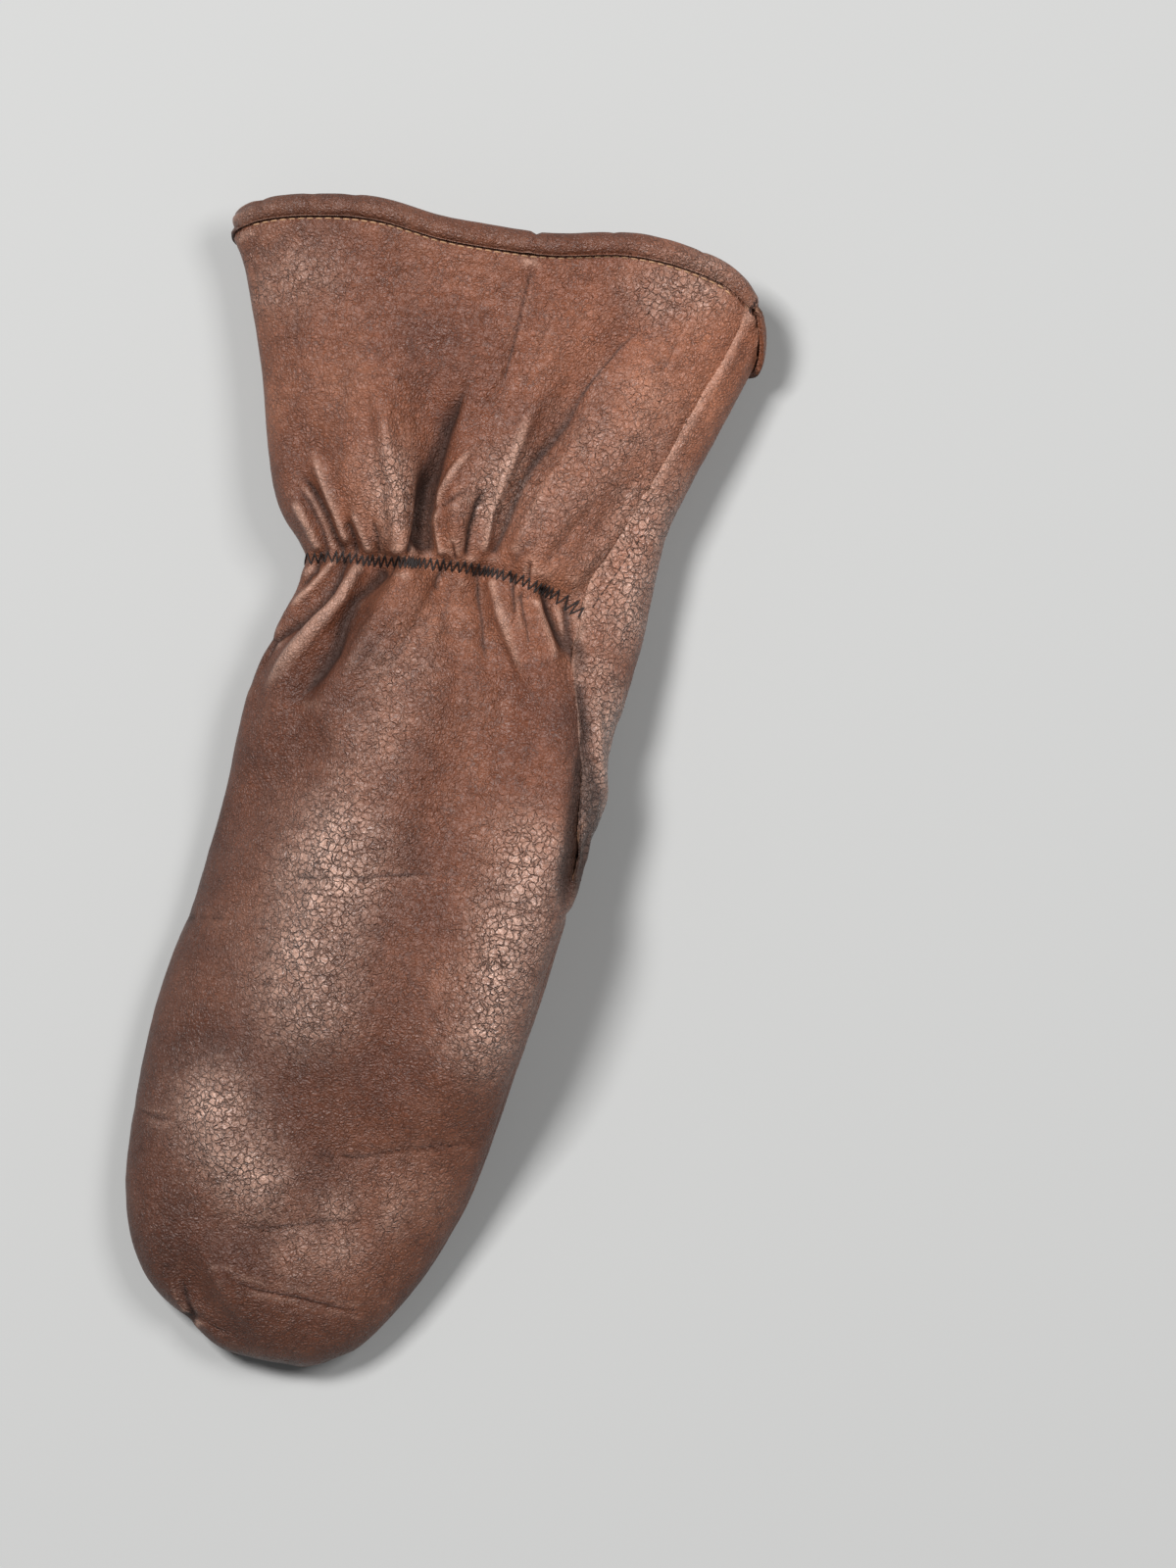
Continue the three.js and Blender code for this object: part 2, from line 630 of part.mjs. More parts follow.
// Thumb body. inset is the depth under the outer face, and its inner end runs past the outer one.
function thumbGeometry(inset) {
  const rings = thumbRows.map((share) => {
    const reach = Math.max(1 - share / thumbTipRound, 0);
    const y = thumbStart + share * thumbLength + inset * reach + (share === 1 ? inset * 2 : 0);
    const edge = Math.min(share / thumbTipEdge, 1);
    const half = readTable(thumbSections, 'along', share, 'half') * thumbWidth / 2 - inset * edge;
    const top = readTable(thumbSections, 'along', share, 'top') * thumbHeight - inset * edge;
    const bottom = readTable(thumbSections, 'along', share, 'bottom') * thumbHeight + inset * edge;
    const shift = readTable(thumbSections, 'along', share, 'shift') * thumbLength;
    const ring = [];
    for (let column = 0; column < thumbColumns; column += 1) {
      const angle = 2 * Math.PI * column / thumbColumns;
      const across = signedPower(Math.cos(angle), 2 / sectionPower);
      const lift = signedPower(Math.sin(angle), 2 / sectionPower);
      const z = (top + bottom) / 2 + lift * (top - bottom) / 2;
      ring.push(new THREE.Vector3(thumbAcross + shift + across * half, y, Math.max(z, inset)));
    }
    return ring;
  });
  return roundTube(rings);
}

// Hollow of the hand from the thumb to beyond the cuff.
function hollowGeometry() {
  const rings = [];
  const start = crotch - crotchBlend;
  for (let step = 0; step <= hollowRings; step += 1) {
    const along = mix(start, mittenLength, step / hollowRings);
    const ring = [];
    for (let column = 0; column < palmColumns * 2; column += 1) {
      ring.push(bodyPoint(Math.PI * column / palmColumns, along, leatherWall));
    }
    rings.push(ring);
  }
  return roundTube(rings);
}

// Shares of its nose and of its clearance at which the hem starts to turn round the cuff edge
const noseTurn = 0.7;
const innerTurn = 0.6;

// Hem wrapped round the cuff edge between two angles, as a U shaped strip of thin leather. back is the
// distance of a profile point from the end of the panels, and inset its depth under their outer face.
function hemGeometry(startAngle, endAngle, count) {
  const middle = cuffEdgeAt((startAngle + endAngle) / 2);
  const angles = evenAngles(startAngle, endAngle, middle, count);
  const rounding = hemLeaf / 2;
  const reach = hemWidth - hemNose;
  const innerNear = leatherWall + hemClearance;
  const innerFar = innerNear + hemLeaf;
  const profile = [
    { back: reach, inset: -hemClearance },
    { back: reach, inset: -hemOutside + rounding },
    { back: reach - rounding, inset: -hemOutside },
    { back: rounding, inset: -hemOutside },
    { back: -hemNose * noseTurn, inset: -hemClearance },
    { back: -hemNose, inset: leatherWall / 2 },
    { back: -hemNose * noseTurn, inset: innerNear },
    { back: rounding, inset: innerFar },
    { back: reach, inset: innerFar },
    { back: reach, inset: innerNear },
    { back: -hemClearance * innerTurn, inset: innerNear },
    { back: -hemClearance, inset: leatherWall / 2 },
    { back: -hemClearance * innerTurn, inset: -hemClearance },
  ];
  const rings = angles.map((angle) => {
    const edge = cuffEdgeAt(angle);
    return profile.map(({ back, inset }) => bodyPoint(angle, edge - back, inset));
  });
  return profileTube(rings, profile);
}

const wasm = await Module();
wasm.setup();

function toManifold(geometry) {
  const merged = mergeVertices(geometry, tinyLength);
  return new wasm.Manifold(new wasm.Mesh({
    numProp: 3,
    vertProperties: merged.getAttribute('position').array,
    triVerts: new Uint32Array(merged.getIndex().array),
  }));
}

function fromManifold(solid) {
  const mesh = solid.getMesh();
  const geometry = new THREE.BufferGeometry();
  geometry.setAttribute('position', new THREE.BufferAttribute(new Float32Array(mesh.vertProperties), 3));
  geometry.setIndex([...mesh.triVerts]);
  return geometry;
}

// Makes one piece of the mitten in its leather.
function namedMesh(name, geometry, { colour, roughness }) {
  const material = new THREE.MeshStandardMaterial({ color: colour, roughness, metalness: 0 });
  const mesh = new THREE.Mesh(geometry, material);
  mesh.name = name;
  return mesh;
}

// Back panel, from the fingertips to the cuff edge
function backPanel() {
  const edges = [seamAngleAt, joinAngleAt];
  const outer = bodyGrid(bodyRows, backColumns, edges, rowPlace, 1, 0);
  const inner = bodyGrid(bodyRows, backColumns, edges, rowPlace, 1, leatherWall);
  return panelFrom(outer, inner);
}

const palmEdges = [joinAngleAt, (along) => seamAngleAt(along) + 2 * Math.PI];

// Palm panel, from the fingertips to the slanting seam
function palmPanel() {
  const place = (share, angle) => {
    const reach = share / seamMeeting;
    return share * mittenLength + (palmSeamAt(angle) - seamMeeting * mittenLength - seamGap / 2) * reach;
  };
  const outer = bodyGrid(palmRows, palmColumns, palmEdges, place, -1, 0);
  const inner = bodyGrid(palmRows, palmColumns, palmEdges, place, -1, leatherWall);
  return panelFrom(outer, inner);
}

// Upper palm, side strip, palm side of the cuff and thumb in one piece of leather
function thumbPanel() {
  const place = (share, angle) => {
    const reach = (1 - share) / (1 - seamMeeting);
    const shift = palmSeamAt(angle) - seamMeeting * mittenLength + seamGap / 2;
    return rowPlace(share, angle) + shift * reach;
  };
  const outer = bodyGrid(wristRows, palmColumns, palmEdges, place, -1, 0);
  const inner = bodyGrid(wristRows, palmColumns, palmEdges, place, -1, leatherWall);
  const patch = toManifold(panelFrom(outer, inner));
  const thumbOuter = toManifold(thumbGeometry(0));
  const thumbInner = toManifold(thumbGeometry(leatherWall));
  const hollow = toManifold(hollowGeometry());
  const tube = thumbOuter.subtract(thumbInner).subtract(hollow);
  return fromManifold(patch.subtract(thumbInner).add(tube));
}

// Angles at which the two hems meet, and half the gap that they leave there
const hemStart = seamAngleAt(mittenLength);
const hemEnd = joinAngleAt(mittenLength);
const hemJointGap = 0.6 * degree;

const backLeather = { colour: 0x7a5040, roughness: 0.5 };
const palmLeather = { colour: 0x7a5040, roughness: 0.55 };
const hemLeather = { colour: 0x8a6654, roughness: 0.5 };
const backHem = hemGeometry(hemStart + hemJointGap, hemEnd - hemJointGap, backColumns);
const palmHem = hemGeometry(hemEnd + hemJointGap, hemStart + 2 * Math.PI - hemJointGap, palmColumns);

const mitten = new THREE.Group();
mitten.name = 'leather_mitten';
mitten.add(namedMesh('back_panel', backPanel(), backLeather));
mitten.add(namedMesh('palm_panel', palmPanel(), palmLeather));
mitten.add(namedMesh('thumb_panel', thumbPanel(), palmLeather));
mitten.add(namedMesh('cuff_hem_back', backHem, hemLeather));
mitten.add(namedMesh('cuff_hem_palm', palmHem, hemLeather));

// The origin lies at the middle of the box round the mitten, on the floor.
const box = new THREE.Box3().setFromObject(mitten);
const centre = box.getCenter(new THREE.Vector3());
for (const mesh of mitten.children) {
  mesh.geometry.translate(-centre.x, -centre.y, -box.min.z);
}

export default mitten;
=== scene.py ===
"""A right-hand leather mitten lying back of the hand up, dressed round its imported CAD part.

The leather pieces follow the CAD pieces: each is merged, refined, creased by the tables below and
given a grained leather. Threads are laid on the finished leather. Sizes in the tables are in
millimetres on the mitten's own plan: x across the hand towards the thumb, y along it to the cuff.
A row of a table is a fold's name, its lift and its width, then x and y of each point of its path.
The folds move the leather along its way out of the mitten, but PRESSED moves it straight down.
"""

import logging
import math
import random
from collections.abc import Iterable
from dataclasses import dataclass, field
from enum import Enum
from typing import Any

import bmesh
import bpy
import numpy as np
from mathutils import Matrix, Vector, noise
from mathutils.bvhtree import BVHTree
from mathutils.kdtree import KDTree


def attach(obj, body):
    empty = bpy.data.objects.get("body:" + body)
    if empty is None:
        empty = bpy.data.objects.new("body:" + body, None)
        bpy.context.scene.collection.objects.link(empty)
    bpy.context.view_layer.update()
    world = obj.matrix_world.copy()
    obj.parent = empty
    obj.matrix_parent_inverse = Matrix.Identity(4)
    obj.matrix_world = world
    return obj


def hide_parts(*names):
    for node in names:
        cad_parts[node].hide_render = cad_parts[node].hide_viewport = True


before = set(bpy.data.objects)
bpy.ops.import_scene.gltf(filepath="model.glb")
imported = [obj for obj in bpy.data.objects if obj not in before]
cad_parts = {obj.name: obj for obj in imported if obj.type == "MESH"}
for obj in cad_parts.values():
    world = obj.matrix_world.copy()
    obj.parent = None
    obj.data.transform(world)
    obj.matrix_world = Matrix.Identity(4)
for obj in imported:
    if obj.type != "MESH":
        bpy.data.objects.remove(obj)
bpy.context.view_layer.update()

LOG = logging.getLogger("mitten")
MM = 0.001
LEAST = 1e-6
UP = Vector((0, 0, 1))

HEM_WIDTH = 8.0
STITCH_INSET = HEM_WIDTH - 0.6
GATHER_PULL = 1.8
VALLEY_POWER = 1.35
RIDGE_POWER = 2.0
START_FADE = 0.25
END_FADE = 0.35
END_SHARE = 0.15
FINE_FOLD = 4.0
FINE_MARGIN = 0.8
GATHERED = (18.0, 120.0)
WEARING_FOLD = 4.5
GROOVE_DEPTH = 0.9
GROOVE_WIDTH = 2.6
WALL_CASTS = 24
WALL_CLEARANCE = 1.2
RAY_REACH = 0.2
PALM_CORNER = (-43.0, 34.9, 9.8)
CORNER_REACH = 2.5
SEW_ROUNDS = 3
SEAM_LINE = 0.14

Plan = tuple[tuple[float, float], ...]
Colour = tuple[int, int, int]


@dataclass(frozen=True)
class Fold:
    """One fold, crease or swelling: how far it lifts the leather, how wide it is and where it runs."""

    name: str
    lift: float
    width: float
    path: Plan


def folds(*rows: tuple) -> tuple[Fold, ...]:
    """Makes the folds of a table from its rows."""
    return tuple(Fold(*row[:3], tuple(zip(row[3::2], row[4::2]))) for row in rows)


GATHERS = folds(
    ("left_pleat", -1.6, 3.0, -30.1, 64.4, -32.7, 67.7, -35.8, 73.1, -41.4, 80.2, -46.9, 84.7),
    ("left_pleat_root", -1.2, 2.0, -26.1, 64.5, -28.4, 69.8, -31.1, 73.1),
    ("left_edge_pleat", -0.9, 2.4, -34.4, 63.1, -36.7, 68.7, -41.4, 75.5, -47.0, 80.4),
    ("left_edge_ridge", 0.8, 3.0, -37.2, 64.3, -42.2, 71.1, -47.2, 77.0),
    ("left_ridge", 1.1, 4.0, -30.2, 68.2, -35.2, 76.7, -39.6, 84.4, -44.6, 92.8),
    ("second_ridge", 0.7, 3.0, -22.6, 66.2, -25.5, 70.8, -29.8, 77.6),
    ("cuff_ridge", 1.1, 5.0, -13.5, 67.9, -16.1, 77.6, -20.5, 89.6, -25.3, 104.1, -30.3, 112.6),
    ("deep_valley", -2.4, 4.4, -6.1, 69.2, -8.0, 77.4, -9.1, 85.7, -8.8, 93.5, -7.8, 103.9, -1.9, 120.4),
    ("deep_valley_heart", -1.5, 2.2, -7.6, 70.0, -9.0, 78.0, -9.6, 86.0, -8.9, 96.0),
    ("deep_valley_foot", -1.3, 2.6, -10.9, 67.5, -9.6, 72.0, -8.4, 77.3),
    ("valley_lip", 0.9, 3.0, -2.2, 69.1, -5.5, 76.2, -5.1, 84.8, -1.9, 93.1, 2.5, 101.6),
    ("cross_wrinkle", -0.4, 2.0, -5.6, 80.4, 0.3, 85.8, 5.7, 88.5),
    ("middle_valley", -1.3, 2.6, 6.0, 69.8, 5.8, 76.6, 6.5, 84.4, 7.9, 90.6),
    ("middle_ridge", 1.2, 4.2, 9.9, 73.1, 9.4, 82.4, 12.1, 95.7, 14.4, 106.3, 16.7, 117.0),
    ("long_valley", -1.5, 2.8, 12.7, 71.9, 14.4, 80.7, 17.1, 91.5, 20.6, 100.6, 26.2, 111.9, 32.2, 127.6),
    ("long_valley_bank", 0.8, 5.0, 19.5, 74.0, 21.3, 82.8, 24.6, 92.8, 30.0, 104.9, 36.8, 119.0),
    ("side_hollow", -0.8, 5.0, 29.2, 72.4, 33.8, 80.0, 38.7, 90.3),
    ("side_bank", 0.7, 5.0, 36.7, 68.6, 43.3, 79.2, 48.2, 89.5, 52.0, 101.3),
    ("low_left_valley", -1.6, 3.2,
     -28.8, 60.8, -30.4, 55.3, -33.0, 48.9, -38.5, 41.9, -45.1, 35.6, -48.5, 22.1),
    ("low_left_edge_valley", -1.0, 2.6, -35.6, 60.4, -37.7, 55.7, -40.6, 50.9),
    ("low_left_edge_ridge", 0.9, 2.8, -32.1, 60.1, -34.6, 55.4, -38.3, 49.6, -42.3, 43.7),
    ("low_left_ridge", 1.4, 4.2, -24.8, 59.8, -27.4, 50.8, -34.0, 40.2, -40.4, 28.7, -45.1, 17.6),
    ("low_deep_valley", -2.0, 4.0,
     -18.3, 59.3, -23.3, 51.5, -25.6, 43.4, -27.1, 35.5, -31.4, 26.1, -36.3, 15.8),
    ("low_soft_ridge", 0.8, 6.0, -12.0, 59.6, -16.6, 47.7, -20.0, 34.2, -23.7, 21.6),
    ("low_soft_valley", -0.7, 5.0, -0.6, 62.6, -3.0, 52.7, -8.1, 39.0, -13.8, 23.4),
    ("low_middle_ridge", 0.6, 5.0, 4.9, 61.0, 1.9, 49.4, -2.9, 34.0),
    ("low_middle_valley", -0.9, 3.4, 9.5, 63.6, 11.1, 57.1, 14.2, 47.4, 18.2, 35.3),
    ("low_right_ridge", 0.8, 4.0, 14.3, 62.8, 17.9, 54.9, 24.1, 44.9, 29.3, 34.8),
    ("low_sharp_valley", -0.9, 1.6, 18.4, 65.2, 19.7, 60.4, 22.0, 53.9),
    ("low_right_valley", -0.8, 4.0, 22.0, 60.8, 26.0, 53.0, 28.6, 43.2),
    ("low_right_bank", 0.7, 4.0, 27.4, 59.2, 32.4, 50.8, 36.7, 41.3),
    ("low_end_valley", -1.2, 2.2, 28.9, 62.5, 33.3, 55.2, 37.0, 49.0, 39.9, 44.9),
    ("low_last_valley", -0.8, 2.6, 35.8, 59.9, 38.1, 51.8, 40.9, 43.8),
    ("side_crease_upper", -0.5, 1.8, 42.3, 50.0, 47.3, 44.1, 52.8, 37.5),
    ("stitch_pucker_a", -0.7, 1.4, -37.5, 59.2, -35.9, 55.2),
    ("stitch_pucker_b", -0.7, 1.4, -19.8, 65.0, -21.1, 69.9, -23.3, 74.6),
    ("stitch_pucker_c", -0.6, 1.4, -15.0, 62.5, -15.1, 58.2),
    ("stitch_pucker_d", -0.7, 1.4, 2.0, 67.3, 0.2, 72.1),
    ("stitch_pucker_e", -0.6, 1.4, -1.1, 63.3, -0.6, 57.4),
    ("stitch_pucker_f", -0.6, 1.4, 23.5, 66.2, 23.4, 71.3),
)

CREASES = folds(
    ("hand_valley", -0.8, 5.0, 8.2, 52.2, 8.5, 41.2, 10.2, 27.9, 11.3, 17.0),
    ("knuckle_crease", -0.42, 1.3, -31.7, -30.4, -19.6, -28.9, -7.6, -26.3, 6.2, -22.9, 19.1, -19.9),
    ("left_cross_crease", -0.25, 1.4, -59.5, -47.9, -49.6, -45.9, -37.4, -44.3),
    ("side_edge_crease", -0.28, 1.5, -60.2, -103.1, -51.1, -104.6, -43.3, -102.1),
    ("finger_crease", -0.42, 1.6, -7.3, -106.1, 6.9, -104.5, 16.6, -100.9, 32.2, -96.2, 42.9, -92.3),
    ("lower_crease", -0.36, 1.6, -28.6, -131.0, -17.4, -129.8, -7.6, -127.0, 4.1, -123.3, 16.4, -122.3),
    ("tip_crease", -0.36, 2.2, -27.0, -145.2, -16.3, -147.3, -3.9, -147.3, 10.9, -148.5, 21.1, -147.6),
    ("notch_crease", -1.3, 2.8, -36.4, -158.8, -32.4, -159.7, -35.3, -153.4, -37.4, -147.6),
    ("notch_line", -0.45, 2.0, -34.2, -158.1, -29.7, -159.3, -24.6, -160.9, -19.9, -161.7),
    ("finger_line_left", -0.6, 3.0, -20.3, -92.1, -17.7, -103.6, -14.6, -114.4, -10.3, -126.5),
    ("finger_line_right", -0.5, 3.6, 10.1, -54.9, 7.5, -68.9, 8.1, -83.2, 6.9, -102.1, 7.4, -110.3),
    ("cuff_left_valley", -0.8, 5.0, -22.6, 83.2, -28.4, 99.2, -33.1, 115.5),
    ("cuff_hem_crease", -0.6, 1.6, 8.5, 156.8, 7.9, 137.3, 6.8, 120.0, -0.5, 104.0),
    ("cuff_middle_valley", -1.1, 7.0, 7.9, 137.3, 6.8, 120.0, -1.5, 98.7),
    ("cuff_long_line", -0.4, 1.2, 46.5, 146.7, 37.8, 135.8, 29.2, 120.6, 21.7, 106.0, 16.5, 90.5),
    ("cuff_light_line", -0.3, 1.2, 18.9, 146.2, 15.7, 135.6, 11.3, 113.4, 9.7, 103.7),
    ("cuff_right_line", -0.3, 1.1, 56.1, 157.5, 54.8, 146.9, 50.7, 130.6, 44.1, 113.0),
    ("cuff_left_line", -0.35, 1.3, -72.4, 148.0, -67.4, 131.9, -59.8, 110.5),
    ("cuff_second_line", -0.35, 1.3, -59.3, 146.2, -54.1, 125.8, -53.0, 105.0),
)

SIDE_FOLDS = folds(
    ("side_bulge", 2.2, 9.0, 54.8, 22.0, 55.6, 10.0, 56.0, -3.0, 54.0, -16.0, 49.0, -36.0),
    ("side_pocket_lip", 1.2, 2.6, 46.5, 41.7, 51.2, 28.0, 53.9, 10.2, 54.4, -1.9, 53.4, -13.3),
    ("back_edge_roll", 1.3, 7.0,
     38.3, 40.4, 40.9, 26.6, 43.4, 10.0, 45.4, -6.5, 46.0, -23.5, 45.4, -40.8, 44.9, -57.9),
    ("strip_groove", -1.0, 3.0, 41.8, 49.6, 44.4, 38.7, 48.6, 25.2, 50.0, 11.2),
    ("side_wrinkle_a", -0.9, 1.8, 41.0, 50.9, 45.3, 43.1, 50.3, 34.1, 53.9, 30.5),
    ("side_wrinkle_b", -0.9, 2.0, 35.3, 58.4, 38.7, 47.6, 42.2, 41.1),
    ("low_pull", -1.2, 2.4, 28.6, 60.8, 33.3, 53.7, 38.3, 46.7),
)

PRESSED = folds(
    ("side_pocket", -4.6, 4.4, 48.6, 16.0, 50.2, 6.0, 51.0, -4.7, 50.5, -12.4, 48.6, -24.0),
    ("side_pocket_heart", -5.0, 4.2, 50.2, 8.0, 50.7, -1.0, 50.6, -8.0, 50.0, -14.2, 48.9, -22.0),
    ("side_slit", -1.6, 2.2, 44.6, 38.0, 47.4, 28.0, 48.6, 17.0, 50.0, 7.0),
)

HEM_CREASES = folds(
    ("hem_pinch", -0.8, 1.6, 8.2, 164.5, 7.6, 158.0, 7.0, 153.0),
    ("hem_left_pinch", -0.5, 2.0, -70.5, 161.0, -71.5, 154.0),
    ("hem_left_wrinkle", -0.35, 2.0, -57.0, 162.0, -58.0, 154.0),
    ("hem_second_wrinkle", -0.35, 2.4, -45.0, 164.0, -46.5, 156.0),
    ("hem_right_wrinkle", -0.35, 2.0, 30.0, 170.0, 28.5, 162.0),
    ("hem_corner_wrinkle", -0.4, 2.2, 57.0, 170.0, 53.5, 163.0),
)

SWELLINGS = folds(
    ("hill_big", 2.0, 18.0, -15.4, -18.2, -16.6, -34.0, -17.8, -49.7, -16.6, -61.9),
    ("hill_side", 1.5, 14.0, 38.3, -11.4, 37.6, -30.1, 35.9, -49.1, 35.5, -63.7),
    ("hill_left", 1.7, 14.0, -36.8, -97.8, -32.0, -107.2, -23.1, -116.0),
    ("hill_small_a", 0.5, 7.0, 0.8, -121.9, 5.4, -119.0),
    ("hill_small_b", 0.5, 7.0, 19.0, -114.4, 18.6, -120.6),
    ("hill_tip", 0.4, 11.0, -6.6, -132.6, 2.0, -134.1, 5.6, -131.3),
    ("dip_middle", -0.9, 18.0, 9.5, -68.5, 1.1, -84.5, -6.7, -98.4),
    ("dip_left", -0.7, 16.0, -42.6, -66.8, -42.8, -82.3, -44.9, -99.3),
)

# Spots where the leather takes crackle, gloss and a lighter colour: the crackle and gloss are the leather's
# own, and the lighter colour is partly rubbing, partly painted highlight.
WEAR_AND_HIGHLIGHT_SPOTS = folds(
    ("cuff_left", 0.35, 12.0, -64.0, 136.0, -52.0, 141.0),
    ("cuff_right", 0.32, 22.0, 24.8, 92.0, 43.8, 112.6),
    ("cuff_corner", 0.6, 12.0, 44.9, 152.7, 56.8, 157.7),
    ("side_fold", 0.9, 8.0, 48.8, 42.3, 53.7, 36.1),
    ("side_panel", 0.8, 16.0, 57.0, 92.0, 53.5, 78.0, 52.9, 60.0),
    ("side_strip", 0.9, 8.0, 52.6, 34.0, 54.0, 22.0, 55.0, 10.0, 55.0, -6.0),
    ("low_spots", 0.2, 12.0, -12.0, -120.0, 6.0, -118.0, 24.0, -112.0),
    ("hand_middle", 0.35, 14.0, -6.0, 36.0, -10.0, 14.0, -14.0, -6.0),
    ("cuff_ridges", 0.7, 10.0, -20.5, 89.6, -16.1, 77.6),
    ("wrist_ridges", 0.7, 10.0, 8.8, 84.0, 12.1, 96.0),
)

ZIGZAG_PATH: Plan = (
    (-41.0, 59.6), (-32.3, 62.1), (-22.2, 62.6), (-9.4, 64.2), (1.3, 65.4), (12.6, 65.8), (19.2, 65.3),
    (26.6, 63.9), (31.1, 62.7), (37.4, 60.7), (41.4, 57.9),
)
HEM_JOINT: Plan = ((71.9, 152.6), (73.1, 155.6), (74.5, 158.7))
LOWER_SEAM: Plan = ((39.7, -118.8), (33.1, -137.1), (24.4, -151.5), (19.6, -156.7))
CUFF_SEAM: Plan = ((43.4, 61.5), (46.5, 68.5), (50.5, 77.0), (54.5, 86.5))

SEWN = (
    ("back_panel", "thumb_panel", 3.0),
    ("back_panel", "palm_panel", 2.6),
    ("palm_panel", "thumb_panel", 2.0),
    ("cuff_hem_back", "cuff_hem_palm", 2.6),
)

LENGTH_TINT = (
    (0.0, 0.5, 0.46, 0.43),
    (0.1, 0.72, 0.69, 0.67),
    (0.26, 0.72, 0.69, 0.68),
    (0.45, 0.95, 0.93, 0.92),
    (0.62, 1.08, 1.06, 1.05),
    (0.74, 1.34, 1.31, 1.28),
    (1.0, 1.22, 1.19, 1.16),
)


class LeatherShares(Enum):
    """The shares kept at each point of the leather, which its finish reads: ridge and crackle are painted
    highlight and rubbing, valley is painted shade, inside is the flesh side.
    """

    RIDGE = "ridge"
    VALLEY = "valley"
    CRACKLE = "crackle"
    INSIDE = "inside"


class Grid(Enum):
    """How a leather piece gets its fine mesh."""

    PANEL = "panel"
    EVEN = "even"


def linear(red: int, green: int, blue: int) -> tuple[float, float, float, float]:
    """Turns a screen colour into light.

    Args:
        red: Red from 0 to 255.
        green: Green from 0 to 255.
        blue: Blue from 0 to 255.

    Returns:
        The colour in linear light, with full cover.
    """
    shares = (value / 255 for value in (red, green, blue))
    light = tuple(share / 12.92 if share <= 0.04045 else ((share + 0.055) / 1.055) ** 2.4 for share in shares)
    return (*light, 1.0)


def ease(low: float, high: float, value: np.ndarray) -> np.ndarray:
    """Rises smoothly from 0 at low to 1 at high.

    Args:
        low: Where the rise starts.
        high: Where it ends.
        value: The values to judge.

    Returns:
        A share from 0 to 1 for each value.
    """
    share = np.clip((value - low) / (high - low), 0, 1)
    return share * share * (3 - 2 * share)


def bell(offset: np.ndarray, width: float, power: float = 2.0) -> np.ndarray:
    """Falls from 1 in the middle to nearly 0 past the width."""
    return np.exp(-((offset / width) ** power))


def unit_rows(rows: np.ndarray) -> np.ndarray:
    """Brings each row to the length 1."""
    return rows / np.maximum(np.linalg.norm(rows, axis=1), LEAST)[:, None]


def nearest_on(path: Plan, points: np.ndarray) -> tuple[np.ndarray, np.ndarray]:
    """Measures points against a line drawn on the plan.

    Args:
        path: The line's points, in millimetres.
        points: An array of x and y rows, in millimetres.

    Returns:
        The distance to the line, and how far along it the nearest place is, from 0 to 1.
    """
    line = np.array(path, float)
    steps = np.linalg.norm(np.diff(line, axis=0), axis=1)
    starts = np.concatenate(([0], np.cumsum(steps)))
    distance = np.full(len(points), np.inf)
    along = np.zeros(len(points))
    for index, length in enumerate(steps):
        direction = (line[index + 1] - line[index]) / length
        share = np.clip((points - line[index]) @ direction, 0, length)
        gap = np.linalg.norm(points - line[index] - share[:, None] * direction, axis=1)
        closer = gap < distance
        distance[closer] = gap[closer]
        along[closer] = (starts[index] + share[closer]) / starts[-1]
    return distance, along


def lift_of(
    table: tuple[Fold, ...], points: np.ndarray, held_at_start: bool = False, pull: float = 1.0
) -> np.ndarray:
    """Adds up what a table of folds lifts at each point.

    Args:
        table: The folds.
        points: An array of x and y rows, in millimetres.
        held_at_start: Whether the folds are as deep at their first point as in the middle.
        pull: How much deeper than in the table the folds are.

    Returns:
        The lift at each point, in millimetres.
    """
    total = np.zeros(len(points))
    for fold in table:
        distance, along = nearest_on(fold.path, points)
        shape = bell(distance, 0.5 * fold.width, VALLEY_POWER if fold.lift < 0 else RIDGE_POWER)
        fade = ease(0, END_FADE, 1 - along)
        if not held_at_start:
            fade = fade * ease(0, START_FADE, along)
        total += pull * fold.lift * shape * (END_SHARE + (1 - END_SHARE) * fade)
    return total


def ripple_at(place: Vector) -> float:
    """Gives the small unevenness of the leather at a place."""
    broad = noise.fractal(place * 55, 0.9, 2.1, 3)
    return 0.7 * broad + 0.35 * (1 - 2 * abs(noise.noise(place * 150)))


def vertex_array(mesh: bpy.types.Mesh) -> np.ndarray:
    """Reads a mesh's points as rows of x, y and z."""
    places = np.zeros(len(mesh.vertices) * 3)
    mesh.vertices.foreach_get("co", places)
    return places.reshape(-1, 3)


def normal_array(mesh: bpy.types.Mesh) -> np.ndarray:
    """Reads the normals at a mesh's points as rows."""
    normals = np.zeros(len(mesh.vertices) * 3)
    mesh.vertex_normals.foreach_get("vector", normals)
    return normals.reshape(-1, 3)


def edge_array(mesh: bpy.types.Mesh) -> np.ndarray:
    """Reads the pairs of points that a mesh's edges join."""
    pairs = np.zeros(len(mesh.edges) * 2, np.int32)
    mesh.edges.foreach_get("vertices", pairs)
    return pairs.reshape(-1, 2)


def spread_over(edges: np.ndarray, values: np.ndarray, rounds: int) -> np.ndarray:
    """Evens values out between neighbouring points.

    Args:
        edges: The pairs of neighbours.
        values: A value or a row for each point.
        rounds: How many times to even them.

    Returns:
        The evened values.
    """
    count = np.zeros(len(values))
    np.add.at(count, edges.ravel(), 1)
    weight = np.maximum(count, 1)
    if values.ndim > 1:
        weight = weight[:, None]
    for _ in range(rounds):
        total = np.zeros_like(values)
        np.add.at(total, edges[:, 0], values[edges[:, 1]])
        np.add.at(total, edges[:, 1], values[edges[:, 0]])
        values = 0.5 * values + 0.5 * total / weight
    return values


